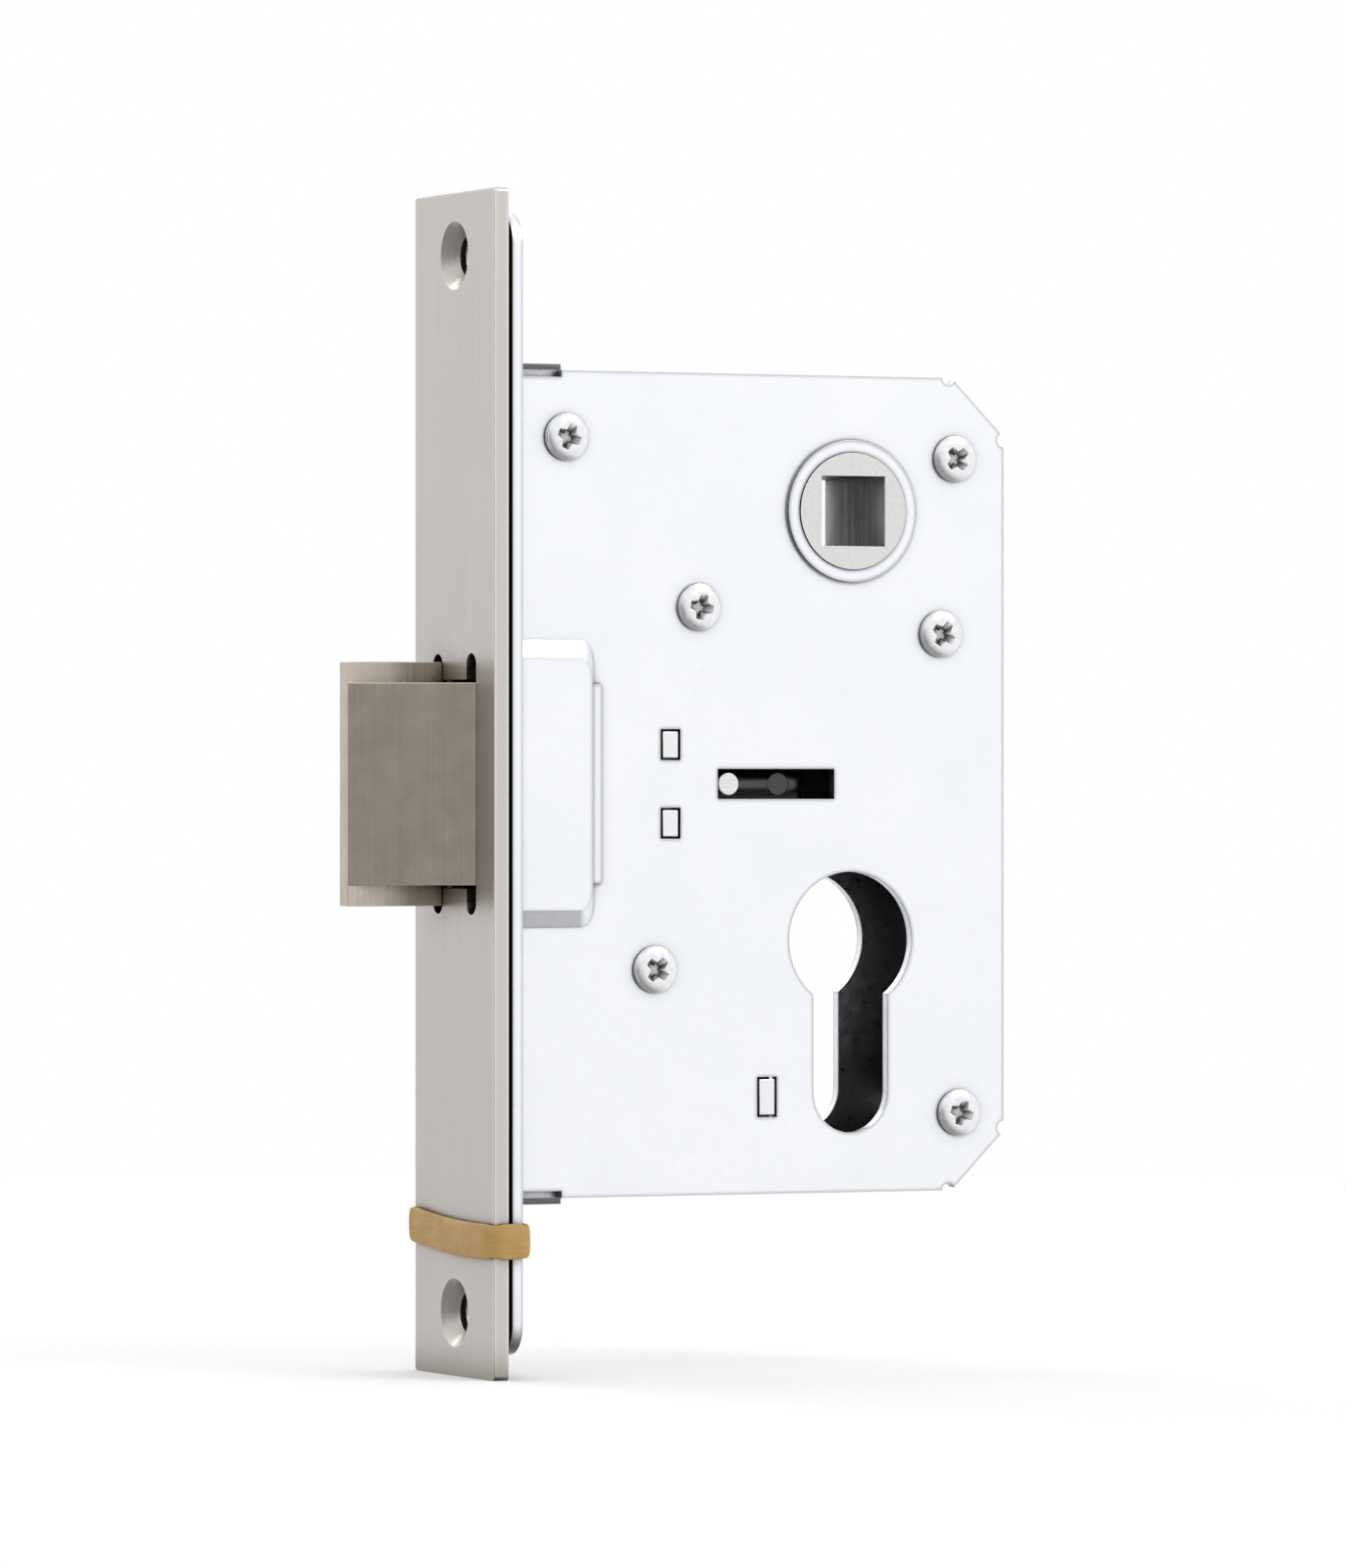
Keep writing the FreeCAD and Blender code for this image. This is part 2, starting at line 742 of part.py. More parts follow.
def case_tray():
    """The far side plate with the rim folded up from it, as one pressing."""
    plate = prism("tray_plate", "XZ", tray_in, tray_out, case_outline())
    folds = prism("tray_folds", "XZ", cover_in, tray_in, *fold_outlines())
    collar = rod(
        "tray_collar",
        "y",
        collar_radius,
        tray_out,
        tray_out + d.collar_rise,
        axis_x,
        spindle_z,
    )
    raised = [boss("tray_boss", tray_out, as_size(0)), boss_ledge("tray_ledge", tray_out)]
    body = join("tray_solid", plate, folds, collar, *raised)
    tools = shared_holes("tray_holes", tray_in, tray_out)
    tools.append(boss("tray_boss_hollow", tray_in, d.case_wall))
    tools.extend(relief_notches("tray_relief", tray_in, tray_out))
    for name, (x, z) in SCREWED.items():
        tools.append(rod(f"tray_{name}", "y", d.pillar_spigot, tray_in, tray_out, x, z))
    tools.append(rod("tray_stop", "y", d.stop_radius, tray_in, tray_out, stop_x, stop_z))
    for side, word in ((-1, "low"), (1, "high")):
        ends = sorted((side * flange_end_z, side * case_top), key=lambda size: size.value)
        tools.append(rod(f"tray_lug_rivet_{word}", "z", d.rivet_radius, *ends, lug_rivet_x, 0))
    finish("case_tray", cut("tray_shape", body, *tools))


def cover_plate():
    """The near side plate, held by six screws and notched where the lugs stand."""
    plate = prism("cover_sheet", "XZ", cover_out, cover_in, case_outline())
    collar = rod(
        "cover_collar",
        "y",
        collar_radius,
        cover_out - d.collar_rise,
        cover_out,
        axis_x,
        spindle_z,
    )
    raised = [boss("cover_boss", cover_out, as_size(0)), boss_ledge("cover_ledge", cover_out)]
    body = join("cover_solid", plate, collar, *raised)
    tools = shared_holes("cover_holes", cover_out, cover_in)
    tools.append(boss("cover_boss_hollow", cover_in, d.case_wall))
    tools.extend(relief_notches("cover_relief", cover_out, cover_in))
    for name, (x, z) in SCREWED.items():
        tools.append(rod(f"cover_{name}", "y", d.screw_radius, cover_out, cover_in, x, z))
    notch_x = (case_front, case_front + d.lug_length - d.case_wall)
    for side, word in ((-1, "low"), (1, "high")):
        inner, outer = side * (case_top - d.lug_thickness), side * (case_top + CUTTER_MARGIN)
        where = (inner, outer) if side > 0 else (outer, inner)
        reach = (cover_out, cover_in)
        tools.append(block(f"cover_notch_{word}", notch_x, reach, where))
    finish("cover_plate", cut("cover_shape", body, *tools))


def forend_lugs():
    """Angle pieces that tie the folded rim of the case to the inner forend."""
    half = d.lug_width / 2
    for side, word in ((-1, "bottom"), (1, "top")):
        leg_z = sorted((side * case_top, side * lug_top), key=lambda size: size.value)
        foot_z = sorted(
            (side * (case_top - d.lug_foot), side * lug_top), key=lambda size: size.value
        )
        leg_x = (case_front, case_front + d.lug_length)
        foot_x = (case_front, case_front + d.lug_thickness)
        leg = block(f"lug_{word}_leg", leg_x, (-half, half), leg_z)
        foot = block(f"lug_{word}_foot", foot_x, (-half, half), foot_z)
        holes = (
            rod(f"lug_{word}_hole_x", "x", d.rivet_radius, *foot_x, 0, side * lug_rivet_z),
            rod(f"lug_{word}_hole_z", "z", d.rivet_radius, *leg_z, lug_rivet_x, 0),
        )
        solid = join(f"lug_{word}_solid", leg, foot)
        finish(f"forend_lug_{word}", cut(f"lug_{word}_shape", solid, *holes))


def forend_rivets():
    """Four flush rivets: two through the forend and the lugs, two through the rim and the lugs."""
    rivets = []
    head, head_height = d.rivet_head_radius, d.rivet_head_height
    for side, word in ((-1, "low"), (1, "high")):
        foot_end = case_front + d.lug_thickness
        up = side * lug_rivet_z
        shank = rod(f"rivet_{word}_x", "x", d.rivet_radius, forend_front, foot_end, 0, up)
        bead = rod(f"rivet_{word}_x_head", "x", head, foot_end, foot_end + head_height, 0, up)
        rivets.append(join(f"rivet_{word}_forend", shank, bead))
        ends = (side * flange_end_z, side * lug_top)
        inner = (side * (flange_end_z - head_height), side * flange_end_z)
        ends = sorted(ends, key=lambda size: size.value)
        inner = sorted(inner, key=lambda size: size.value)
        shank = rod(f"rivet_{word}_z", "z", d.rivet_radius, *ends, lug_rivet_x, 0)
        bead = rod(f"rivet_{word}_z_head", "z", head, *inner, lug_rivet_x, 0)
        rivets.append(join(f"rivet_{word}_rim", shank, bead))
    finish("forend_rivets", group("forend_rivet_set", rivets))


def pillar(name, x, z):
    """A turned spacer, riveted into the tray and tapped for a cover screw."""
    stem = rod(name + "_stem", "y", d.pillar_radius, cover_in, tray_in, x, z)
    spigot = rod(name + "_spigot", "y", d.pillar_spigot, tray_in, tray_out, x, z)
    solid = join(name + "_solid", stem, spigot)
    depth = cover_out + d.screw_length
    hole = rod(name + "_hole", "y", d.screw_radius, cover_in, depth + CUTTER_MARGIN, x, z)
    return cut(name + "_shape", solid, hole)


def pillars():
    spacers = [pillar(name, x, z) for name, (x, z) in PILLARS.items()]
    finish("case_pillars", group("pillar_set", spacers))
    finish("lever_pivot_pillar", pillar("pillar_pivot", pivot_x, pivot_z))


def cover_screw(name, x, z):
    """A pan head screw with a cross recess."""
    top, brim = cover_out - d.screw_head_height, cover_out - d.screw_brim
    radii = (d.screw_dome_radius, d.screw_head_radius)
    shank = rod(name + "_shank", "y", d.screw_radius, cover_out, cover_out + d.screw_length, x, z)
    flat = rod(name + "_flat", "y", d.screw_head_radius, brim, cover_out, x, z)
    dome = cone(name + "_dome", "y", radii, top, brim, x, z)
    depth = (top - CUTTER_MARGIN, top + d.cross_depth)
    arm, blade = d.cross_arm, d.cross_blade
    recess = (
        block(name + "_slot_x", (x - arm, x + arm), depth, (z - blade, z + blade)),
        block(name + "_slot_z", (x - blade, x + blade), depth, (z - arm, z + arm)),
    )
    return cut(name + "_cross", join(name + "_solid", shank, flat, dome), *recess)


def cover_screws():
    screws = [cover_screw(f"screw_{name}", x, z) for name, (x, z) in SCREWED.items()]
    finish("cover_screws", group("cover_screw_set", screws))


# ---- The latch -----------------------------------------------------------------------------

def latch_head():
    """The bevelled bolt with a tall flange on its far side and a spring pocket in its rear."""
    half = d.latch_height / 2
    inside = cover_in + d.hub_end_play
    wedge = prism(
        "latch_wedge",
        "XY",
        -half,
        half,
        [
            (-d.throw, flange_start),
            (-d.throw, latch_side),
            (d.latch_shoulder, latch_side),
            (d.latch_shoulder, -latch_side),
            (0, -latch_side),
        ],
    )
    flange_z = (-flange_height / 2, flange_height / 2)
    flange = block(
        "latch_flange", (-d.throw, d.latch_shoulder), (flange_start, latch_side), flange_z
    )
    shank = block("latch_shank", (d.latch_shoulder, head_rear), (inside, -inside), (-half, half))
    pocket = rod("latch_pocket", "x", pocket_radius, pocket_start, head_rear, 0, 0)
    socket = rod("latch_socket", "x", d.rod_radius, rod_tip, pocket_start, 0, 0)
    solid = join("latch_solid", wedge, flange, shank)
    finish("latch_head", cut("latch_head_shape", solid, pocket, socket))


def latch_tail_rod():
    """The round rod from the latch head to its tail, with a flat where the tail plate sits."""
    stem = rod("tail_rod_stem", "x", d.rod_radius, rod_tip, rod_end, 0, 0)
    flat = block(
        "tail_rod_flat",
        (tail_at, rod_end),
        (tail_start, d.rod_radius),
        (-d.rod_radius, d.rod_radius),
    )
    pin = rod("tail_rod_pin_hole", "y", d.pin_radius, -d.rod_radius, d.rod_radius, pin_x, 0)
    rivet = rod(
        "tail_rod_rivet_hole", "y", d.rivet_radius, -d.rod_radius, d.rod_radius, tail_rivet_x, 0
    )
    finish("latch_tail_rod", cut("tail_rod_shape", stem, flat, pin, rivet))


def latch_tail_plate():
    """The plate that the handle lever pushes at its left face and the key's cam at its flag."""
    half, left = d.tail_half, tail_at
    neck = left + d.tail_horn_width
    flag_end = key_flag_at + d.key_flag_width
    outline = [
        (left, -half),
        (left, d.tail_horn),
        (neck, d.tail_horn),
        (neck + d.tail_horn_slope, half),
        (tail_end, half),
        (tail_end, -half),
        (flag_end, -half),
        (flag_end, key_flag_low),
        (key_flag_at, key_flag_low),
        (key_flag_at, -half),
    ]
    plate = prism("tail_sheet", "XZ", tail_start, layer_end, outline)
    pin = rod("tail_pin_hole", "y", d.pin_radius, tail_start, layer_end, pin_x, 0)
    rivet = rod("tail_rivet_hole", "y", d.rivet_radius, tail_start, layer_end, tail_rivet_x, 0)
    finish("latch_tail_plate", cut("tail_plate_shape", plate, pin, rivet))


def guide_pin():
    """The cross pin whose ends run in the slots of both side plates."""
    ends = (cover_out + d.pin_short, tray_out - d.pin_short)
    finish("guide_pin", rod("guide_pin_shape", "y", d.pin_radius, *ends, pin_x, 0))


def tail_rivet():
    """The rivet that holds the tail plate to the flat of the rod."""
    start, end = -d.rod_radius, layer_end
    head_radius, head_end = d.rivet_head_radius, layer_end + d.tail_rivet_head
    finish(
        "tail_rivet",
        join(
            "tail_rivet_shape",
            rod("tail_rivet_shank", "y", d.rivet_radius, start, end, tail_rivet_x, 0),
            rod("tail_rivet_head", "y", head_radius, end, head_end, tail_rivet_x, 0),
        ),
    )


def coil(name, radius, pitch, turns, wire):
    """A round wire swept along a helix that climbs its own Z axis from zero."""
    helix = doc.addObject("Part::Helix", name + "_line")
    link(helix, "Radius", radius)
    link(helix, "Pitch", pitch)
    link(helix, "Height", pitch * turns)
    helix.LocalCoord = 0
    helix.SegmentLength = SPRING_SEGMENT
    section = doc.addObject("Part::Circle", name + "_section")
    link(section, "Radius", wire / 2)
    section.Placement = Placement(Vector(), Rotation(Vector(1, 0, 0), 90))
    link(section, "Placement.Base.x", radius)
    doc.recompute()
    sweep = doc.addObject("Part::Sweep", name)
    sweep.Sections = [section]
    sweep.Spine = (helix, [f"Edge{i + 1}" for i in range(len(helix.Shape.Edges))])
    sweep.Solid = True
    sweep.Frenet = True
    return sweep


def latch_spring():
    """The compression spring round the rod, from the pocket of the latch to the bracket."""
    length = bracket_at - pocket_start - d.spring_wire - 2 * d.spring_gap
    spring = coil("latch_coil", spring_mean, length / d.spring_turns, d.spring_turns, d.spring_wire)
    spring.Placement = Placement(Vector(), ALONG["x"])
    place(spring, pocket_start + d.spring_wire / 2 + d.spring_gap, 0, 0)
    finish("latch_spring", spring)


def tenoned_plate(label, x, half, tenons, bore, bore_z):
    """A plate across the case with tenons in both side plates and a hole for a rod or a screw."""
    plate = block(label + "_web", x, (cover_in, tray_in), (bore_z - half, bore_z + half))
    bars = []
    for number, (centre, height) in enumerate(tenons):
        where = (centre - height / 2, centre + height / 2)
        bars.append(block(f"{label}_tenon_{number}", x, (cover_out, tray_out), where))
    hole = rod(label + "_bore", "x", bore, *x, 0, bore_z)
    finish(label, cut(label + "_shape", join(label + "_solid", plate, *bars), hole))


def bracket_and_guide():
    x = (bracket_at, bracket_at + d.bracket_thickness)
    tenons = [(side * d.tenon_pitch / 2, d.tenon_height) for side in (-1, 1)]
    bore = d.rod_radius + d.rod_play
    tenoned_plate("latch_guide_bracket", x, d.bracket_height / 2, tenons, bore, as_size(0))
    x = (guide_at, guide_at + d.guide_thickness)
    tenons = [(screw_z, d.guide_tenon)]
    bore = d.cylinder_screw_hole / 2
    tenoned_plate("cylinder_screw_guide", x, d.guide_height / 2, tenons, bore, screw_z)


# ---- The follower, its spring and the handle lever -----------------------------------------

def strip_between(start, end, half):
    """Corners of a straight bar of a given half width from one point to another."""
    run, rise = end[0] - start[0], end[1] - start[1]
    length = root(run * run + rise * rise)
    aside_x, aside_z = rise / length * half, run / length * half
    return [
        (start[0] - aside_x, start[1] + aside_z),
        (end[0] - aside_x, end[1] + aside_z),
        (end[0] + aside_x, end[1] - aside_z),
        (start[0] + aside_x, start[1] - aside_z),
    ]


def follower_hub():
    """The turning hub: a journal in each side plate, a spring flange, a barrel and one lobe."""
    near, far = cover_out - d.journal_stand, tray_out + d.journal_stand
    arm_ends = ((axis_x, spindle_z), (lobe_x, lobe_z))
    layer = (layer_start, layer_end)
    parts = [
        rod("hub_journal", "y", d.journal_radius, near, far, axis_x, spindle_z),
        rod(
            "hub_flange",
            "y",
            hub_flange_radius,
            hub_flange_start,
            hub_flange_end,
            axis_x,
            spindle_z,
        ),
        rod("hub_barrel", "y", hub_radius, hub_flange_end, hub_end, axis_x, spindle_z),
        rod("hub_lobe_round", "y", d.hub_lobe, *layer, lobe_x, lobe_z),
        prism("hub_neck_bar", "XZ", *layer, strip_between(*arm_ends, d.hub_neck)),
    ]
    half = d.spindle_square / 2
    through = (near - CUTTER_MARGIN, far + CUTTER_MARGIN)
    across, upright = (axis_x - half, axis_x + half), (spindle_z - half, spindle_z + half)
    square = block("hub_square", across, through, upright)
    hook_hole = d.torsion_wire / 2 + d.spring_gap / 2
    hook = rod("hub_hook_hole", "y", hook_hole, hub_flange_start, hub_flange_end, hook_x, hook_z)
    finish("follower_hub", cut("hub_shape", join("hub_solid", *parts), square, hook))


def follower_spring():
    """The torsion spring: one straight leg on a pillar, the other hooked into the hub."""
    turns = coil(
        "torsion_coil", torsion_mean, d.torsion_pitch, d.torsion_turns, d.torsion_wire
    )
    spin = Rotation(Vector(0, 0, 1), -leg_angle.value)
    turns.Placement = Placement(Vector(), ALONG["y"].multiply(spin))
    place(turns, axis_x, coil_start, spindle_z)
    wire = d.torsion_wire / 2
    leg_length = anchor_reach * sine(leg_fan) + d.pillar_radius
    leg = doc.addObject("Part::Cylinder", "torsion_leg")
    leg.Placement = Placement(Vector(), Rotation(Vector(0, 1, 0), -leg_angle.value))
    link(leg, "Radius", wire)
    link(leg, "Height", leg_length - d.bend_swell)
    leg_x = axis_x + torsion_mean * cosine(leg_angle)
    leg_z = spindle_z + torsion_mean * sine(leg_angle)
    ahead_x, ahead_z = d.bend_swell * sine(leg_angle), d.bend_swell * cosine(leg_angle)
    place(leg, leg_x - ahead_x, coil_start, leg_z + ahead_z)
    # The wire swells a little where it is bent, which also holds the straight ends to the turns.
    bends = []
    for word, where in (("leg", (leg_x, coil_start, leg_z)), ("hook", (hook_x, coil_end, hook_z))):
        bend = doc.addObject("Part::Sphere", "torsion_bend_" + word)
        link(bend, "Radius", wire + d.bend_swell)
        place(bend, *where)
        bends.append(bend)
    hook_start = coil_end + 2 * d.bend_swell
    hook = rod("torsion_hook", "y", wire, hook_start, hub_flange_end, hook_x, hook_z)
    finish("follower_spring", join("torsion_solid", turns, leg, *bends, hook))


def follower_stop_pin():
    """The pin, riveted in the tray, that the hub's lobe comes back to."""
    start = layer_start - d.spring_gap
    finish(
        "follower_stop_pin",
        rod("stop_pin_shape", "y", d.stop_radius, start, tray_out, stop_x, stop_z),
    )


def from_pivot(along, aside):
    """A point given along and across the line from the lever's pivot to the hub's lobe."""
    return (
        pivot_x + along * cosine(lobe_ray) - aside * sine(lobe_ray),
        pivot_z + along * sine(lobe_ray) + aside * cosine(lobe_ray),
    )


def handle_lever():
    """The bell crank: its finger lies over the hub's lobe, its foot stands behind the tail."""
    boss_ends = (cover_in + d.hub_end_play, tray_in - d.hub_end_play)
    layer = (layer_start, layer_end)
    tip = d.finger_tip
    finger = [
        from_pivot(as_size(0), flank),
        from_pivot(finger_length, flank),
        from_pivot(finger_length, flank + 2 * tip),
        from_pivot(as_size(0), d.lever_boss),
    ]
    tip_x, tip_z = from_pivot(finger_length, flank + tip)
    foot = (push_x, pivot_z - push_drop)
    parts = [
        rod("lever_boss", "y", d.lever_boss, *boss_ends, pivot_x, pivot_z),
        prism("lever_finger", "XZ", *layer, finger),
        rod("lever_tip", "y", tip, *layer, tip_x, tip_z),
        prism("lever_leg", "XZ", *layer, strip_between((pivot_x, pivot_z), foot, d.lever_lobe)),
        rod("lever_foot", "y", d.lever_lobe, *layer, *foot),
    ]
    bore = rod(
        "lever_bore", "y", d.pillar_radius + d.pivot_play, *boss_ends, pivot_x, pivot_z
    )
    finish("handle_lever", cut("lever_shape", join("lever_solid", *parts), bore))


# ---- The rubber band -----------------------------------------------------------------------


def rubber_band():
    """The band round both strips, a little lower at the near edge than at the far one."""
    gap, outer = d.band_gap, d.band_gap + d.band_thickness
    half_width = d.face_width / 2
    room = d.band_width
    heights = (-band_below - room, -band_below + room)
    ring = block(
        "band_outer", (-outer, case_front + outer), (-half_width - outer, half_width + outer), heights
    )
    ring = rounded(
        "band_corners", ring, d.band_thickness.value, lambda edge: runs_along(edge, Vector(0, 0, 1))
    )
    inner = block(
        "band_inner", (-gap, case_front + gap), (-half_width - gap, half_width + gap), heights
    )
    loop = cut("band_loop", ring, inner)
    slab = doc.addObject("Part::Box", "band_slab")
    reach = d.face_width
    for path, size in (("Length", reach), ("Width", 2 * reach), ("Height", d.band_width)):
        link(slab, path, size)
    slab.Placement = Placement(Vector(), Rotation(Vector(1, 0, 0), d.band_tilt.value))
    half = d.band_width / 2
    slab_y = half * sine(d.band_tilt) - reach * cosine(d.band_tilt)
    slab_z = -band_below - reach * sine(d.band_tilt) - half * cosine(d.band_tilt)
    place(slab, -reach / 2, slab_y, slab_z)
    finish("rubber_band", overlap("band_shape", loop, slab))


# ---- Build, check and write ----------------------------------------------------------------


def check(thing):
    """Stops if a finished piece is missing, failed or not a sound solid."""
    if thing.Shape.isNull() or not thing.Shape.isValid() or not thing.Shape.Solids:
        raise RuntimeError(f"{thing.Label} has no valid solid")


def main():
    faceplate()
    inner_forend()
    case_tray()
    cover_plate()
    forend_lugs()
    forend_rivets()
    pillars()
    cover_screws()
    latch_head()
    latch_tail_rod()
    latch_tail_plate()
    guide_pin()
    tail_rivet()
    latch_spring()
    bracket_and_guide()
    follower_hub()
    follower_spring()
    follower_stop_pin()
    handle_lever()
    rubber_band()
    doc.recompute()
    for thing in doc.Objects:
        if "Invalid" in thing.State or "Error" in thing.State:
            raise RuntimeError(f"{thing.Name} did not compute: {thing.State}")
    for thing in finished:
        check(thing)
    os.makedirs("parts", exist_ok=True)
    for thing in finished:
        thing.Shape.exportStep(f"parts/{thing.Label}.step")
        print(thing.Label, len(thing.Shape.Solids), round(thing.Shape.Volume, 1))


main()
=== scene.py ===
"""The finished look of a mortise latch lock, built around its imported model.

Each class is one sub-assembly of the lock or one finish. Sizes are in metres, in the frame of the
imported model: X goes into the door, Y from the screwed cover to the tray behind it, and Z is up.
"""

import json
import logging
import math
from dataclasses import dataclass, field
from enum import Enum
from typing import Any, NamedTuple, Protocol

import bmesh
import bpy
from mathutils import Matrix, Vector

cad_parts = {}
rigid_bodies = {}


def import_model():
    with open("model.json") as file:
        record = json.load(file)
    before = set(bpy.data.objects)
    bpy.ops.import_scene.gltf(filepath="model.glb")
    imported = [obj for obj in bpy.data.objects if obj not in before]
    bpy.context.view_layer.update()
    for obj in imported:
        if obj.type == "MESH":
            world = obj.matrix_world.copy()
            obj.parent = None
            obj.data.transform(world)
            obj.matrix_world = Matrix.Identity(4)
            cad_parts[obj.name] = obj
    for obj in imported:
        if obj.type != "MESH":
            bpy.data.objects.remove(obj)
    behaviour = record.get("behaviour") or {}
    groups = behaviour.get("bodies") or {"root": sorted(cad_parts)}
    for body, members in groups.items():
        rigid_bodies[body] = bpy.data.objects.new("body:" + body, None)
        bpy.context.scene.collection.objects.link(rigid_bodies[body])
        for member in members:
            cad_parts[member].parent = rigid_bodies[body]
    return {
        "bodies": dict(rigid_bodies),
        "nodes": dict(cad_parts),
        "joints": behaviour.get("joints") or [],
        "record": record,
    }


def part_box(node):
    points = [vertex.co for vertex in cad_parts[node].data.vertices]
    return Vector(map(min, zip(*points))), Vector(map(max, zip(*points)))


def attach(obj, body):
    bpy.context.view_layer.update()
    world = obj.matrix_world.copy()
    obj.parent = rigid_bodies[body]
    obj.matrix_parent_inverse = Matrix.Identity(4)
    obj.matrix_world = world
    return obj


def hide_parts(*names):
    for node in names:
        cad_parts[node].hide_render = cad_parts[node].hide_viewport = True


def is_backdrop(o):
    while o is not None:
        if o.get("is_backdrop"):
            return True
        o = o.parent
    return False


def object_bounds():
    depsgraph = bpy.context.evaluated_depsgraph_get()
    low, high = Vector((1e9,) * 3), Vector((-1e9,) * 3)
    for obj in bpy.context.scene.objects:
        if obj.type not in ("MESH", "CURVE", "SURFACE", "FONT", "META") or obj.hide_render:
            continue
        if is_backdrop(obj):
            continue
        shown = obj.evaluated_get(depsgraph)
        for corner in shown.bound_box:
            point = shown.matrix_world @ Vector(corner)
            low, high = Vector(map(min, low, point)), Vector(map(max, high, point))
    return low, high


Colour = tuple[float, float, float]
Point = tuple[float, float, float]
Ring = list[bmesh.types.BMVert]

MM = 0.001
FULL_TURN = 2.0 * math.pi
TOUCHING = 0.001 * MM
HOLLOW_SAMPLES = 6
CORNER_SAMPLES = 4

log = logging.getLogger("mortise_lock")


class Grain(Enum):
    """The way the marks of a finish run, as a stretch of the noise along X, Y and Z."""

    EVEN = (1.0, 1.0, 1.0)
    UPRIGHT = (1.0, 1.0, 0.004)
    INTO_DOOR = (0.02, 1.0, 1.0)
    ROUND_THE_STRIP = (0.12, 0.12, 1.0)
    STEPS_THROUGH_HUB = (0.05, 1.0, 0.05)


class Slot(Enum):
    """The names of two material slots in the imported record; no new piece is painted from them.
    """

    SCREWS = "zinc_screw"
    BAND = "band_rubber"


class Tone(Enum):
    """The colours of the plain steel pieces: where they are bright, and where oil lies."""

    # The lugs are near-black: a dark steel that also carries painted shade for the shaded strip
    # along the case.
    LUG_DARK_AND_SHADED = ((0.290, 0.285, 0.280), (0.120, 0.118, 0.115))
    GUIDE = ((0.900, 0.905, 0.915), (0.820, 0.825, 0.835))
    # The tail pieces are near-black as painted shade, so that they sink into the shade behind the
    # slot.
    SHADED_TAIL = ((0.110, 0.108, 0.106), (0.070, 0.069, 0.068))
    PIN = ((0.860, 0.855, 0.840), (0.720, 0.715, 0.700))
    LATCH_WIRE = ((0.460, 0.455, 0.450), (0.330, 0.325, 0.320))
    FOLLOWER_WIRE = ((0.440, 0.435, 0.430), (0.310, 0.305, 0.300))


class Hollow(NamedTuple):
    """What counts as a hollow, where a finish is darkened with painted shade.

    Attributes:
        reach: how far a neighbouring face still closes a hollow.
        shut: the share of open sky at or under which a face counts as hollow.
        clear: the share at or over which it counts as open.
    """

    reach: float
    shut: float
    clear: float


class Corner(NamedTuple):
    """What counts as a corner: a strip along an edge where a finish lays painted highlight with
    rubbing wear, or painted shade.

    Attributes:
        reach: the width of the strip along it.
        turn: the fall of the normals' cosine that counts as a full corner.
    """

    reach: float
    turn: float


def put(name: str, data: bpy.types.ID) -> bpy.types.Object:
    """Make an object and put it into the scene.

    Args:
        name: the object's name.
        data: its mesh, lamp or camera.
    """
    thing = bpy.data.objects.new(name, data)
    bpy.context.scene.collection.objects.link(thing)
    return thing


def bridge(bm: bmesh.types.BMesh, one: Ring, other: Ring) -> None:
    """Join two rings of points with faces. A ring may be a single point.

    Args:
        bm: the mesh that holds both rings.
        one: the first ring.
        other: the next ring.
    """
    count = max(len(one), len(other))
    for n in range(count):
        after = (n + 1) % count
        if len(one) == 1:
            bm.faces.new((one[0], other[n], other[after]))
        elif len(other) == 1:
            bm.faces.new((one[n], other[0], one[after]))
        else:
            bm.faces.new((one[n], other[n], other[after], one[after]))


def settle(bm: bmesh.types.BMesh, name: str) -> bpy.types.Mesh:
    """Turn finished faces into a mesh, and free what held them.

    Args:
        bm: the faces.
        name: the mesh's name.
    """
    mesh = bpy.data.meshes.new(name)
    bm.to_mesh(mesh)
    bm.free()
    return mesh


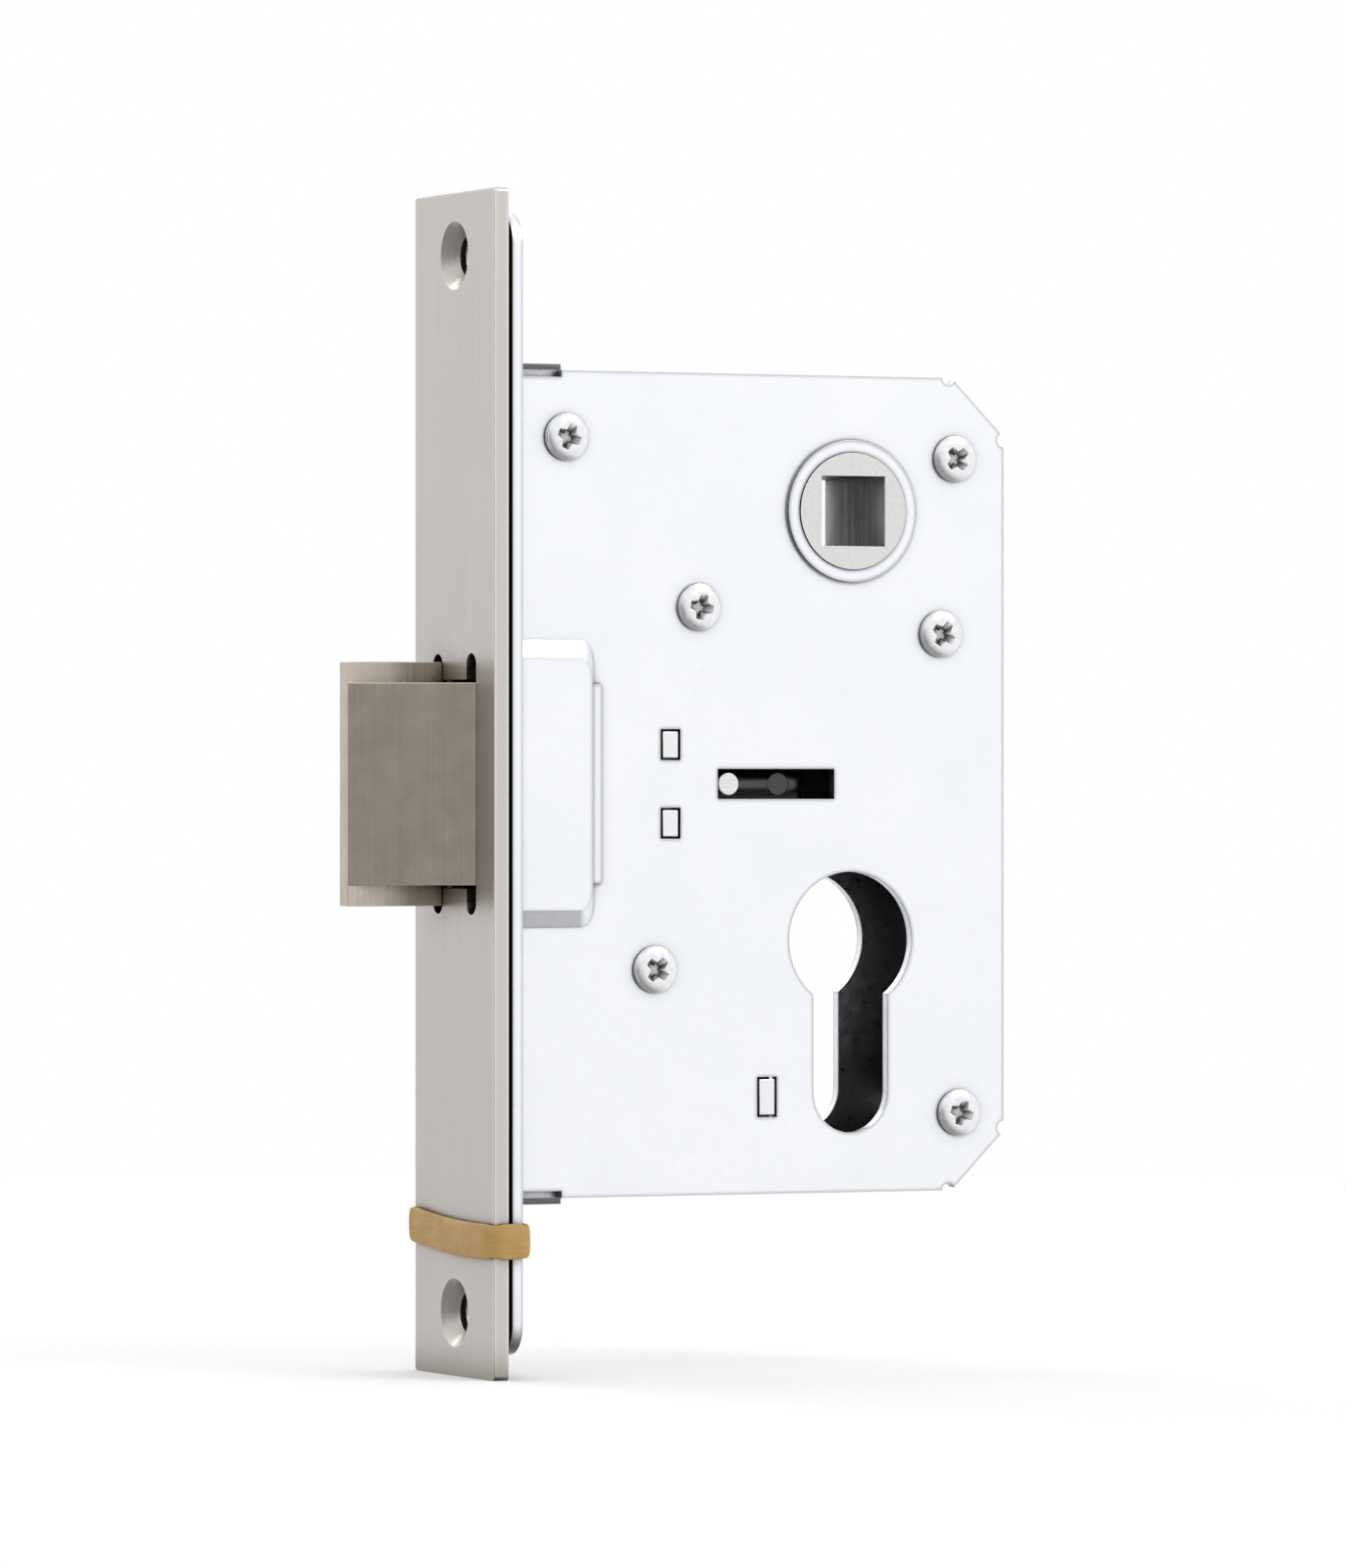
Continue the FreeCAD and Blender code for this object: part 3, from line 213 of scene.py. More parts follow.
class Mixer:
    """A node material while it is being mixed."""

    def __init__(self, name: str) -> None:
        """Start a material that holds one Principled shader.

        Args:
            name: the material's name.
        """
        self.material = bpy.data.materials.new(name)
        self.material.use_nodes = True
        self.nodes = self.material.node_tree.nodes
        self.links = self.material.node_tree.links
        self.shader = self.nodes["Principled BSDF"]
        self.place = self.nodes.new("ShaderNodeTexCoord").outputs["Object"]

    def link(self, source: bpy.types.NodeSocket, target: bpy.types.NodeSocket) -> None:
        """Join two sockets."""
        self.links.new(source, target)

    def cloud(
        self, size: float, grain: Grain = Grain.EVEN, detail: float = 3.0
    ) -> bpy.types.NodeSocket:
        """Make a noise from 0 to 1.

        Args:
            size: the width of its patches.
            grain: the way the patches are drawn out.
            detail: how many finer layers it has.

        Returns:
            The socket that carries the noise.
        """
        stretch = self.nodes.new("ShaderNodeMapping")
        stretch.inputs["Scale"].default_value = grain.value
        self.link(self.place, stretch.inputs["Vector"])
        noise = self.nodes.new("ShaderNodeTexNoise")
        noise.inputs["Scale"].default_value = 1.0 / size
        noise.inputs["Detail"].default_value = detail
        self.link(stretch.outputs["Vector"], noise.inputs["Vector"])
        return noise.outputs[0]

    def spread(
        self,
        factor: bpy.types.NodeSocket,
        low: float,
        high: float,
        start: float = 0.3,
        end: float = 0.7,
    ) -> bpy.types.NodeSocket:
        """Turn a factor into a range of values.

        Args:
            factor: the socket to read.
            low: the value where the factor is at start or under.
            high: the value where it is at end or over.
            start: the factor that gives low.
            end: the factor that gives high.

        Returns:
            The socket that carries the value.
        """
        node = self.nodes.new("ShaderNodeMapRange")
        node.inputs["From Min"].default_value = start
        node.inputs["From Max"].default_value = end
        node.inputs["To Min"].default_value = low
        node.inputs["To Max"].default_value = high
        self.link(factor, node.inputs["Value"])
        return node.outputs["Result"]

    def blend(
        self,
        factor: bpy.types.NodeSocket,
        low: Colour | bpy.types.NodeSocket,
        high: Colour | bpy.types.NodeSocket,
    ) -> bpy.types.NodeSocket:
        """Blend two colours.

        Args:
            factor: 0 gives low and 1 gives high.
            low: a colour, or the socket that carries one.
            high: a colour, or the socket that carries one.

        Returns:
            The socket that carries the blended colour.
        """
        node = self.nodes.new("ShaderNodeMixRGB")
        self.link(factor, node.inputs["Fac"])
        for side, socket in ((low, node.inputs["Color1"]), (high, node.inputs["Color2"])):
            if isinstance(side, tuple):
                socket.default_value = (*side, 1.0)
            else:
                self.link(side, socket)
        return node.outputs["Color"]

    def open_air(self, hollow: Hollow) -> bpy.types.NodeSocket:
        """Tell the open faces from the hollows.

        Args:
            hollow: what counts as a hollow.

        Returns:
            A socket with 0 in a hollow and 1 on an open face.
        """
        node = self.nodes.new("ShaderNodeAmbientOcclusion")
        node.samples = HOLLOW_SAMPLES
        node.inputs["Distance"].default_value = hollow.reach
        return self.spread(node.outputs["AO"], 0.0, 1.0, hollow.shut, hollow.clear)

    def corner(self, corner: Corner) -> bpy.types.NodeSocket:
        """Find the corners.

        Args:
            corner: what counts as a corner.

        Returns:
            A socket with 1 on a corner and 0 on a flat face.
        """
        rounded = self.nodes.new("ShaderNodeBevel")
        rounded.samples = CORNER_SAMPLES
        rounded.inputs["Radius"].default_value = corner.reach
        flat = self.nodes.new("ShaderNodeNewGeometry")
        dot = self.nodes.new("ShaderNodeVectorMath")
        dot.operation = "DOT_PRODUCT"
        self.link(rounded.outputs["Normal"], dot.inputs[0])
        self.link(flat.outputs["Normal"], dot.inputs[1])
        return self.spread(dot.outputs["Value"], 1.0, 0.0, 1.0 - corner.turn, 1.0)

    def relief(self, height: bpy.types.NodeSocket, depth: float) -> None:
        """Raise the surface by a noise, on top of the relief it already has.

        Args:
            height: the noise.
            depth: how high a full step of it stands.
        """
        node = self.nodes.new("ShaderNodeBump")
        node.inputs["Distance"].default_value = depth
        self.link(height, node.inputs["Height"])
        for earlier in list(self.shader.inputs["Normal"].links):
            self.link(earlier.from_socket, node.inputs["Normal"])
        self.link(node.outputs["Normal"], self.shader.inputs["Normal"])

    def paint(
        self, colour: bpy.types.NodeSocket, roughness: bpy.types.NodeSocket, metal: bool
    ) -> None:
        """Give the shader its colour and its gloss.

        Args:
            colour: the socket that carries the colour.
            roughness: the socket that carries the roughness.
            metal: whether the surface is bare or plated metal.
        """
        self.link(colour, self.shader.inputs["Base Color"])
        self.link(roughness, self.shader.inputs["Roughness"])
        self.shader.inputs["Metallic"].default_value = 1.0 if metal else 0.0


class Finish(Protocol):
    """Anything that can mix a material."""

    def mix(self) -> bpy.types.Material:
        """Return the finished material."""


@dataclass(frozen=True)
class SatinSteel:
    """Stainless strip, brushed along its length by a belt."""

    pale: Colour = (0.635, 0.612, 0.590)
    deep: Colour = (0.565, 0.543, 0.522)
    warm: Colour = (0.590, 0.552, 0.518)
    # painted highlight on the edges, together with rubbing wear
    rubbed_and_highlight: Colour = (0.830, 0.820, 0.810)
    # painted shade in brown, which also stands for the latch's painted reflection
    brown_shade_and_reflection: Colour = (0.330, 0.285, 0.245)
    shade: Colour = (0.075, 0.068, 0.060)
    brush_width: float = 0.16 * MM
    drift_size: float = 26.0 * MM
    drift_share: float = 0.75
    rub_and_highlight: Corner = Corner(0.80 * MM, 0.25)
    brown_shade_hollow: Hollow = Hollow(6.0 * MM, 0.50, 0.92)
    inside: Hollow = Hollow(5.0 * MM, 0.12, 0.62)
    smooth: float = 0.27
    rough: float = 0.43
    scratch_depth: float = 0.006 * MM

    def mix(self) -> bpy.types.Material:
        """Return the brushed steel."""
        mixer = Mixer("satin_stainless")
        brush = mixer.cloud(self.brush_width, Grain.UPRIGHT, detail=4.0)
        drift = mixer.cloud(self.drift_size)
        marked = mixer.blend(mixer.spread(brush, 0.0, 1.0), self.deep, self.pale)
        drifted = mixer.blend(mixer.spread(drift, 0.0, self.drift_share), marked, self.warm)
        # Painted highlight along every edge, together with rubbing wear.
        rubbed_and_highlight = mixer.blend(mixer.corner(self.rub_and_highlight), drifted, self.rubbed_and_highlight)
        # Painted shade in brown wherever other faces are near, as in the countersinks and beside
        # the latch; it also stands for the latch's painted reflection.
        brown_shaded = mixer.blend(mixer.open_air(self.brown_shade_hollow), self.brown_shade_and_reflection, rubbed_and_highlight)
        colour = mixer.blend(mixer.open_air(self.inside), self.shade, brown_shaded)
        mixer.paint(colour, mixer.spread(brush, self.smooth, self.rough), True)
        mixer.relief(brush, self.scratch_depth)
        return mixer.material


@dataclass(frozen=True)
class ZincPlate:
    """Pressed steel sheet with a pale, bluish zinc plating."""

    pale: Colour = (0.910, 0.925, 0.955)
    cool: Colour = (0.870, 0.888, 0.925)
    speck: Colour = (0.820, 0.832, 0.855)
    # painted shade along every edge strip, bends and cut edges alike
    edge_shade: Colour = (0.400, 0.406, 0.420)
    # painted shade where a neighbouring face lies within a couple of millimetres, as at steps and
    # folds
    fold_shade: Colour = (0.230, 0.234, 0.242)
    shade: Colour = (0.180, 0.182, 0.188)
    cloud_size: float = 14.0 * MM
    crystal_size: float = 1.1 * MM
    crystal_share: float = 0.5
    speck_size: float = 0.55 * MM
    speck_share: float = 0.55
    speck_start: float = 0.72
    speck_end: float = 0.80
    edge_shade_strip: Corner = Corner(0.80 * MM, 0.12)
    fold: Hollow = Hollow(2.0 * MM, 0.40, 0.88)
    inside: Hollow = Hollow(20.0 * MM, 0.32, 0.58)
    smooth: float = 0.26
    rough: float = 0.40
    crystal_depth: float = 0.010 * MM
    sheet_wave: float = 0.060 * MM

    def mix(self) -> bpy.types.Material:
        """Return the plated sheet."""
        mixer = Mixer("zinc_plated_sheet")
        cloud = mixer.cloud(self.cloud_size)
        crystal = mixer.cloud(self.crystal_size, detail=5.0)
        spots = mixer.cloud(self.speck_size, detail=1.0)
        speck = mixer.spread(spots, 0.0, self.speck_share, self.speck_start, self.speck_end)
        clouded = mixer.blend(mixer.spread(cloud, 0.0, 1.0), self.cool, self.pale)
        grained = mixer.blend(mixer.spread(crystal, 0.0, self.crystal_share), clouded, self.pale)
        specked = mixer.blend(speck, grained, self.speck)
        # Every edge strip is darkened with painted shade, bends and cut edges alike.
        edged = mixer.blend(mixer.corner(self.edge_shade_strip), specked, self.edge_shade)
        # Painted shade where a neighbouring face lies within a couple of millimetres, as at steps
        # and folds.
        fold_shaded = mixer.blend(mixer.open_air(self.fold), self.fold_shade, edged)
        colour = mixer.blend(mixer.open_air(self.inside), self.shade, fold_shaded)
        mixer.paint(colour, mixer.spread(crystal, self.smooth, self.rough), True)
        mixer.relief(crystal, self.crystal_depth)
        mixer.relief(cloud, self.sheet_wave)
        return mixer.material


@dataclass(frozen=True)
class ScrewZinc:
    """Bright plated screws, with painted shade in the recess and wherever the head is hemmed in.
    """

    bright: Colour = (0.900, 0.905, 0.915)
    dull: Colour = (0.760, 0.765, 0.775)
    shade: Colour = (0.035, 0.034, 0.033)
    bloom_size: float = 0.7 * MM
    recess: Hollow = Hollow(1.6 * MM, 0.30, 0.80)
    smooth: float = 0.16
    rough: float = 0.34
    pit_depth: float = 0.010 * MM

    def mix(self) -> bpy.types.Material:
        """Return the plated steel of the screws."""
        mixer = Mixer("screw_zinc")
        bloom = mixer.cloud(self.bloom_size, detail=5.0)
        bright = mixer.blend(mixer.spread(bloom, 0.0, 1.0), self.dull, self.bright)
        # Painted shade in the cross recess and wherever the head is hemmed in.
        colour = mixer.blend(mixer.open_air(self.recess), self.shade, bright)
        mixer.paint(colour, mixer.spread(bloom, self.smooth, self.rough), True)
        mixer.relief(bloom, self.pit_depth)
        return mixer.material


@dataclass(frozen=True)
class LatchNickel:
    """Dull nickel on a cast and linished latch head."""

    body: Colour = (0.590, 0.530, 0.450)
    deep: Colour = (0.490, 0.432, 0.362)
    # painted highlight on the edges, together with rubbing wear
    rubbed_and_highlight: Colour = (0.820, 0.790, 0.745)
    shade: Colour = (0.040, 0.034, 0.028)
    mottle_size: float = 3.2 * MM
    line_width: float = 0.14 * MM
    line_share: float = 0.35
    rub_and_highlight: Corner = Corner(0.30 * MM, 0.22)
    inside: Hollow = Hollow(3.0 * MM, 0.10, 0.60)
    smooth: float = 0.26
    rough: float = 0.40
    cast_depth: float = 0.030 * MM
    line_depth: float = 0.005 * MM

    def mix(self) -> bpy.types.Material:
        """Return the plated casting."""
        mixer = Mixer("latch_nickel")
        mottle = mixer.cloud(self.mottle_size, detail=4.0)
        line = mixer.cloud(self.line_width, Grain.UPRIGHT)
        mottled = mixer.blend(mixer.spread(mottle, 0.0, 1.0), self.deep, self.body)
        lined = mixer.blend(mixer.spread(line, 0.0, self.line_share), mottled, self.body)
        # Painted highlight along every edge, together with rubbing wear.
        rubbed_and_highlight = mixer.blend(mixer.corner(self.rub_and_highlight), lined, self.rubbed_and_highlight)
        colour = mixer.blend(mixer.open_air(self.inside), self.shade, rubbed_and_highlight)
        mixer.paint(colour, mixer.spread(line, self.smooth, self.rough), True)
        mixer.relief(mottle, self.cast_depth)
        mixer.relief(line, self.line_depth)
        return mixer.material


@dataclass(frozen=True)
class HubZinc:
    """The sintered follower: grey and open on its ends, with painted shade in the gaps round them
    and through its square, streaked there by the broach.
    """

    face: Colour = (0.760, 0.758, 0.748)
    pore: Colour = (0.655, 0.655, 0.648)
    # painted shade in the narrow gaps round the hub's ends
    ring_shade: Colour = (0.060, 0.058, 0.055)
    # painted shade through the square, its lighter streaks
    shaded_wall: Colour = (0.065, 0.064, 0.060)
    shade: Colour = (0.018, 0.018, 0.017)
    pore_size: float = 0.28 * MM
    step_size: float = 1.3 * MM
    step_start: float = 0.42
    step_end: float = 0.58
    ring: Hollow = Hollow(0.9 * MM, 0.40, 0.80)
    bore: Hollow = Hollow(12.0 * MM, 0.35, 0.78)
    smooth: float = 0.30
    rough: float = 0.52
    pore_depth: float = 0.014 * MM

    def mix(self) -> bpy.types.Material:
        """Return the sintered metal."""
        mixer = Mixer("hub_zinc")
        pore = mixer.cloud(self.pore_size)
        step = mixer.cloud(self.step_size, Grain.STEPS_THROUGH_HUB, detail=2.0)
        grained = mixer.blend(mixer.spread(pore, 0.0, 1.0), self.pore, self.face)
        # Painted shade in the narrow gaps round the hub's ends.
        face = mixer.blend(mixer.open_air(self.ring), self.ring_shade, grained)
        stepped = mixer.spread(step, 0.0, 1.0, self.step_start, self.step_end)
        # Painted shade through the square, streaked by the broach marks.
        shaded_wall = mixer.blend(stepped, self.shade, self.shaded_wall)
        colour = mixer.blend(mixer.open_air(self.bore), shaded_wall, face)
        mixer.paint(colour, mixer.spread(pore, self.smooth, self.rough), True)
        mixer.relief(pore, self.pore_depth)
        return mixer.material


@dataclass(frozen=True)
class TurnedSteel:
    """Bright drawn or turned steel with a film of oil."""

    name: str = "machined_steel"
    bright: Colour = (0.700, 0.695, 0.685)
    oiled: Colour = (0.520, 0.510, 0.495)
    shade: Colour = (0.030, 0.029, 0.027)
    mark_width: float = 0.20 * MM
    film_size: float = 4.0 * MM
    film_share: float = 0.6
    inside: Hollow = Hollow(4.0 * MM, 0.10, 0.60)
    smooth: float = 0.22
    rough: float = 0.38
    mark_depth: float = 0.006 * MM

    def mix(self) -> bpy.types.Material:
        """Return the turned steel."""
        mixer = Mixer(self.name)
        mark = mixer.cloud(self.mark_width, Grain.INTO_DOOR)
        film = mixer.cloud(self.film_size, detail=4.0)
        marked = mixer.blend(mixer.spread(mark, 0.0, 1.0), self.oiled, self.bright)
        filmed = mixer.blend(mixer.spread(film, 0.0, self.film_share), marked, self.oiled)
        colour = mixer.blend(mixer.open_air(self.inside), self.shade, filmed)
        mixer.paint(colour, mixer.spread(mark, self.smooth, self.rough), True)
        mixer.relief(mark, self.mark_depth)
        return mixer.material


@dataclass(frozen=True)
class BandRubber:
    """Tan natural rubber, dusted with talc and drawn tight."""

    body: Colour = (0.400, 0.235, 0.068)
    pale: Colour = (0.500, 0.325, 0.118)
    dark: Colour = (0.170, 0.090, 0.030)
    streak_width: float = 0.35 * MM
    streak_share: float = 0.8
    patch_size: float = 3.0 * MM
    patch_share: float = 0.6
    # painted shade along the band's edges
    cut: Corner = Corner(0.35 * MM, 0.35)
    edge_shade_share: float = 0.55
    # painted shade where the band presses on the strips
    fold: Hollow = Hollow(1.6 * MM, 0.15, 0.70)
    glow: float = 0.18
    glow_colour: Colour = (1.0, 0.5, 0.2)
    glow_depth: float = 0.6 * MM
    smooth: float = 0.42
    rough: float = 0.66
    grain_depth: float = 0.030 * MM

    def mix(self) -> bpy.types.Material:
        """Return the rubber."""
        mixer = Mixer("band_rubber")
        streak = mixer.cloud(self.streak_width, Grain.ROUND_THE_STRIP, detail=4.0)
        patch = mixer.cloud(self.patch_size)
        streaked = mixer.blend(mixer.spread(streak, 0.0, self.streak_share), self.body, self.pale)
        patched = mixer.blend(mixer.spread(patch, 0.0, self.patch_share), streaked, self.body)
        # The band's edges are darkened with painted shade.
        cut = mixer.spread(mixer.corner(self.cut), 0.0, self.edge_shade_share, 0.0, 1.0)
        edged = mixer.blend(cut, patched, self.dark)
        # Painted shade where the band presses on the strips and other faces come near.
        colour = mixer.blend(mixer.open_air(self.fold), self.dark, edged)
        mixer.paint(colour, mixer.spread(patch, self.smooth, self.rough), False)
        mixer.shader.inputs["Subsurface Weight"].default_value = self.glow
        mixer.shader.inputs["Subsurface Radius"].default_value = self.glow_colour
        mixer.shader.inputs["Subsurface Scale"].default_value = self.glow_depth
        mixer.relief(streak, self.grain_depth)
        return mixer.material


@dataclass(frozen=True)
class PaleFloor:
    """The matt board that the lock stands on. It fades out all round, so it has no edge."""

    board: Colour = (0.900, 0.900, 0.900)
    fibre: Colour = (0.870, 0.870, 0.872)
    fibre_size: float = 1.5 * MM
    smooth: float = 0.75
    rough: float = 0.85
    near: float = 0.22
    far: float = 0.62

    def mix(self) -> bpy.types.Material:
        """Return the board."""
        mixer = Mixer("studio_board")
        fibre = mixer.cloud(self.fibre_size)
        colour = mixer.blend(mixer.spread(fibre, 0.0, 1.0), self.fibre, self.board)
        mixer.paint(colour, mixer.spread(fibre, self.smooth, self.rough), False)
        distance = mixer.nodes.new("ShaderNodeVectorMath")
        distance.operation = "LENGTH"
        mixer.link(mixer.place, distance.inputs[0])
        fade = mixer.spread(distance.outputs["Value"], 1.0, 0.0, self.near, self.far)
        mixer.link(fade, mixer.shader.inputs["Alpha"])
        return mixer.material


@dataclass
class EdgeBreak:
    """The small radius that pressing, shearing or tumbling leaves on a metal edge."""

    radius: float = 0.20 * MM
    steps: int = 2
    sharp: float = math.radians(38.0)
    weld: float = TOUCHING
    flat_within: float = math.radians(0.4)
    normal_weight: int = 60

    def soften(self, piece: bpy.types.Object) -> None:
        """Round the sharp edges of a piece and shade it smooth between them.

        Args:
            piece: the object to round.
        """
        joined = piece.modifiers.new("joined_faces", "WELD")
        joined.merge_threshold = self.weld
        flat = piece.modifiers.new("whole_faces", "DECIMATE")
        flat.decimate_type = "DISSOLVE"
        flat.angle_limit = self.flat_within
        edge = piece.modifiers.new("broken_edges", "BEVEL")
        edge.width = self.radius
        edge.segments = self.steps
        edge.limit_method = "ANGLE"
        edge.angle_limit = self.sharp
        edge.use_clamp_overlap = True
        smooth = piece.modifiers.new("even_shading", "WEIGHTED_NORMAL")
        smooth.weight = self.normal_weight


@dataclass
class MetalParts:
    """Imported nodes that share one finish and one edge."""

    nodes: tuple[str, ...]
    finish: Finish
    edge: EdgeBreak | None = None

    def dress(self, frame: dict[str, Any]) -> None:
        """Paint the nodes and round their edges.
        """
        material = self.finish.mix()
        for name in self.nodes:
            node = frame["nodes"][name]
            node.data.materials.clear()
            node.data.materials.append(material)
            if self.edge is not None:
                self.edge.soften(node)
            log.info("dressed %s in %s", name, material.name)


@dataclass
class Forend:
    """The two strips in the edge of the door, with the lugs that hold them to the case."""

    strip_edge: EdgeBreak = field(default_factory=lambda: EdgeBreak(0.22 * MM))
    lug_edge: EdgeBreak = field(default_factory=lambda: EdgeBreak(0.12 * MM))

    def build(self, frame: dict[str, Any]) -> None:
        """Dress the strips, the lugs and their rivets."""
        MetalParts(("faceplate",), SatinSteel(), self.strip_edge).dress(frame)
        MetalParts(("inner_forend",), ZincPlate(), self.strip_edge).dress(frame)
        lugs = ("forend_lug_top", "forend_lug_bottom", "forend_rivets")
        dark = TurnedSteel("lug_dark_and_shaded", *Tone.LUG_DARK_AND_SHADED.value)
        MetalParts(lugs, dark, self.lug_edge).dress(frame)


@dataclass
class Case:
    """The folded tray, its flat cover, and the posts and guides fixed between them."""

    sheet_edge: EdgeBreak = field(
        default_factory=lambda: EdgeBreak(0.20 * MM, sharp=math.radians(21.0))
    )
    post_edge: EdgeBreak = field(default_factory=lambda: EdgeBreak(0.10 * MM))
    guide_edge: EdgeBreak = field(default_factory=lambda: EdgeBreak(0.15 * MM))

    def build(self, frame: dict[str, Any]) -> None:
        """Dress the sheets and everything that is riveted into them."""
        MetalParts(("case_tray", "cover_plate"), ZincPlate(), self.sheet_edge).dress(frame)
        posts = ("case_pillars", "lever_pivot_pillar", "follower_stop_pin")
        MetalParts(posts, TurnedSteel("post_steel"), self.post_edge).dress(frame)
        guides = ("latch_guide_bracket", "cylinder_screw_guide")
        bright = TurnedSteel("guide_steel", *Tone.GUIDE.value)
        MetalParts(guides, bright, self.guide_edge).dress(frame)


@dataclass
class Latch:
    """The bevelled head with its rod, its flat tail, the pin in the slots and the spring."""

    head_edge: EdgeBreak = field(default_factory=lambda: EdgeBreak(0.25 * MM))
    tail_edge: EdgeBreak = field(default_factory=lambda: EdgeBreak(0.10 * MM))
    pin_edge: EdgeBreak = field(default_factory=lambda: EdgeBreak(0.25 * MM, steps=3))

    def build(self, frame: dict[str, Any]) -> None:
        """Dress the head and everything that slides with it."""
        MetalParts(("latch_head",), LatchNickel(), self.head_edge).dress(frame)
        tail = ("latch_tail_rod", "latch_tail_plate", "tail_rivet")
        dark = TurnedSteel("shaded_tail_steel", *Tone.SHADED_TAIL.value)
        MetalParts(tail, dark, self.tail_edge).dress(frame)
        pin = TurnedSteel("pin_steel", *Tone.PIN.value)
        MetalParts(("guide_pin",), pin, self.pin_edge).dress(frame)
        wire = TurnedSteel("latch_wire", *Tone.LATCH_WIRE.value)
        MetalParts(("latch_spring",), wire).dress(frame)


@dataclass
class Follower:
    """The square hub that the handle turns, its return spring and the lever it pushes."""

    hub_edge: EdgeBreak = field(default_factory=lambda: EdgeBreak(0.15 * MM))
    lever_edge: EdgeBreak = field(default_factory=lambda: EdgeBreak(0.15 * MM))

    def build(self, frame: dict[str, Any]) -> None:
        """Dress the hub, its spring and the lever."""
        MetalParts(("follower_hub",), HubZinc(), self.hub_edge).dress(frame)
        wire = TurnedSteel("follower_wire", *Tone.FOLLOWER_WIRE.value)
        MetalParts(("follower_spring",), wire).dress(frame)
        lever = TurnedSteel("lever_steel")
        MetalParts(("handle_lever",), lever, self.lever_edge).dress(frame)


@dataclass
class CoverScrew:
    """One cross-recessed pan head screw, made along its own axis with the head at height 0."""

    head_radius: float
    shank_radius: float
    length: float
    head_height: float = 1.2 * MM
    thread_pitch: float = 0.6 * MM
    thread_depth: float = 0.22 * MM
    wing_reach: float = 1.80 * MM
    wing_half: float = 0.52 * MM
    floor_reach: float = 0.72 * MM
    floor_half: float = 0.32 * MM
    recess_depth: float = 1.35 * MM
    punch_lift: float = 0.2 * MM
    web: float = 1.45
    crown: tuple[tuple[float, float], ...] = (
        (0.0, 0.0), (0.35, 0.01), (0.62, 0.045), (0.80, 0.13), (0.91, 0.27)
    )
    rim: tuple[tuple[float, float], ...] = (
        (0.975, 0.47), (1.0, 0.72), (1.0, 0.93), (0.985, 1.0)
    )
    rings_per_turn: int = 6
    sides: int = 48

    def outline(self) -> list[tuple[float, float]]:
        """Return the half outline as (radius, depth under the crown) from crown to tip."""
        shape = self.crown + self.rim
        head = [(r * self.head_radius, h * self.head_height) for r, h in shape]
        rings = int(self.length / self.thread_pitch * self.rings_per_turn)
        start = self.head_height
        step = (self.length - start) / rings
        shank = [(self.shank_radius, start + step * n) for n in range(rings + 1)]
        return head + shank + [(0.0, self.length)]

    def thread(self, angle: float, depth: float) -> float:
        """Return how far the thread's flank lies under the shank's crest at a place.

        Args:
            angle: the place round the shank, in radians.
            depth: the place along it, under the crown.
        """
        plain = self.head_height + self.thread_pitch
        if depth < plain:
            return self.thread_depth
        phase = (depth / self.thread_pitch - angle / FULL_TURN) % 1.0
        return self.thread_depth * abs(2.0 * phase - 1.0)

    def turned(self) -> bpy.types.Mesh:
        """Return the head and the threaded shank as one closed mesh."""
        points = self.outline()
        bm = bmesh.new()
        rings: list[Ring] = []
        for radius, depth in points:
            if radius == 0.0:
                rings.append([bm.verts.new((0.0, depth, 0.0))])
                continue
            ring = []
            for side in range(self.sides):
                angle = FULL_TURN * side / self.sides
                on_shank = depth > self.head_height and radius == self.shank_radius
                reach = radius - (self.thread(angle, depth) if on_shank else 0.0)
                ring.append(
                    bm.verts.new((reach * math.cos(angle), depth, reach * math.sin(angle)))
                )
            rings.append(ring)
        for one, other in zip(rings, rings[1:]):
            bridge(bm, one, other)
        bmesh.ops.recalc_face_normals(bm, faces=bm.faces)
        return settle(bm, "cover_screw_blank")

    def cross(self, reach: float, half: float, web: float) -> list[tuple[float, float]]:
        """Return the twelve corners of a cross.

        Args:
            reach: from the middle to the end of a wing.
            half: half the width of a wing.
            web: how far the inner corners are filled, as a multiple of half.
        """
        corners = []
        for quarter in range(4):
            turn = FULL_TURN * quarter / 4
            for x, y in ((reach, -half), (reach, half), (half * web, half * web)):
                corners.append(
                    (
                        x * math.cos(turn) - y * math.sin(turn),
                        x * math.sin(turn) + y * math.cos(turn),
                    )
                )
        return corners

    def punch(self) -> bpy.types.Mesh:
        """Return the tapered cross that cuts the recess."""
        top = self.cross(self.wing_reach, self.wing_half, self.web)
        foot = self.cross(self.floor_reach, self.floor_half, 1.0)
        bm = bmesh.new()
        upper = [bm.verts.new((x, -self.punch_lift, z)) for x, z in top]
        lower = [bm.verts.new((x, self.recess_depth, z)) for x, z in foot]
        bm.faces.new(upper)
        bm.faces.new(lower)
        bridge(bm, upper, lower)
        bmesh.ops.recalc_face_normals(bm, faces=bm.faces)
        return settle(bm, "recess_punch")

    def make(self) -> bpy.types.Mesh:
        """Return the whole screw, with its recess punched."""
        blank = put("screw_blank", self.turned())
        punch = put("screw_punch", self.punch())
        cut = blank.modifiers.new("recess", "BOOLEAN")
        cut.object = punch
        cut.solver = "EXACT"
        bpy.context.view_layer.update()
        graph = bpy.context.evaluated_depsgraph_get()
        mesh = bpy.data.meshes.new_from_object(blank.evaluated_get(graph))
        for part in (blank, punch):
            bpy.data.objects.remove(part)
        return mesh


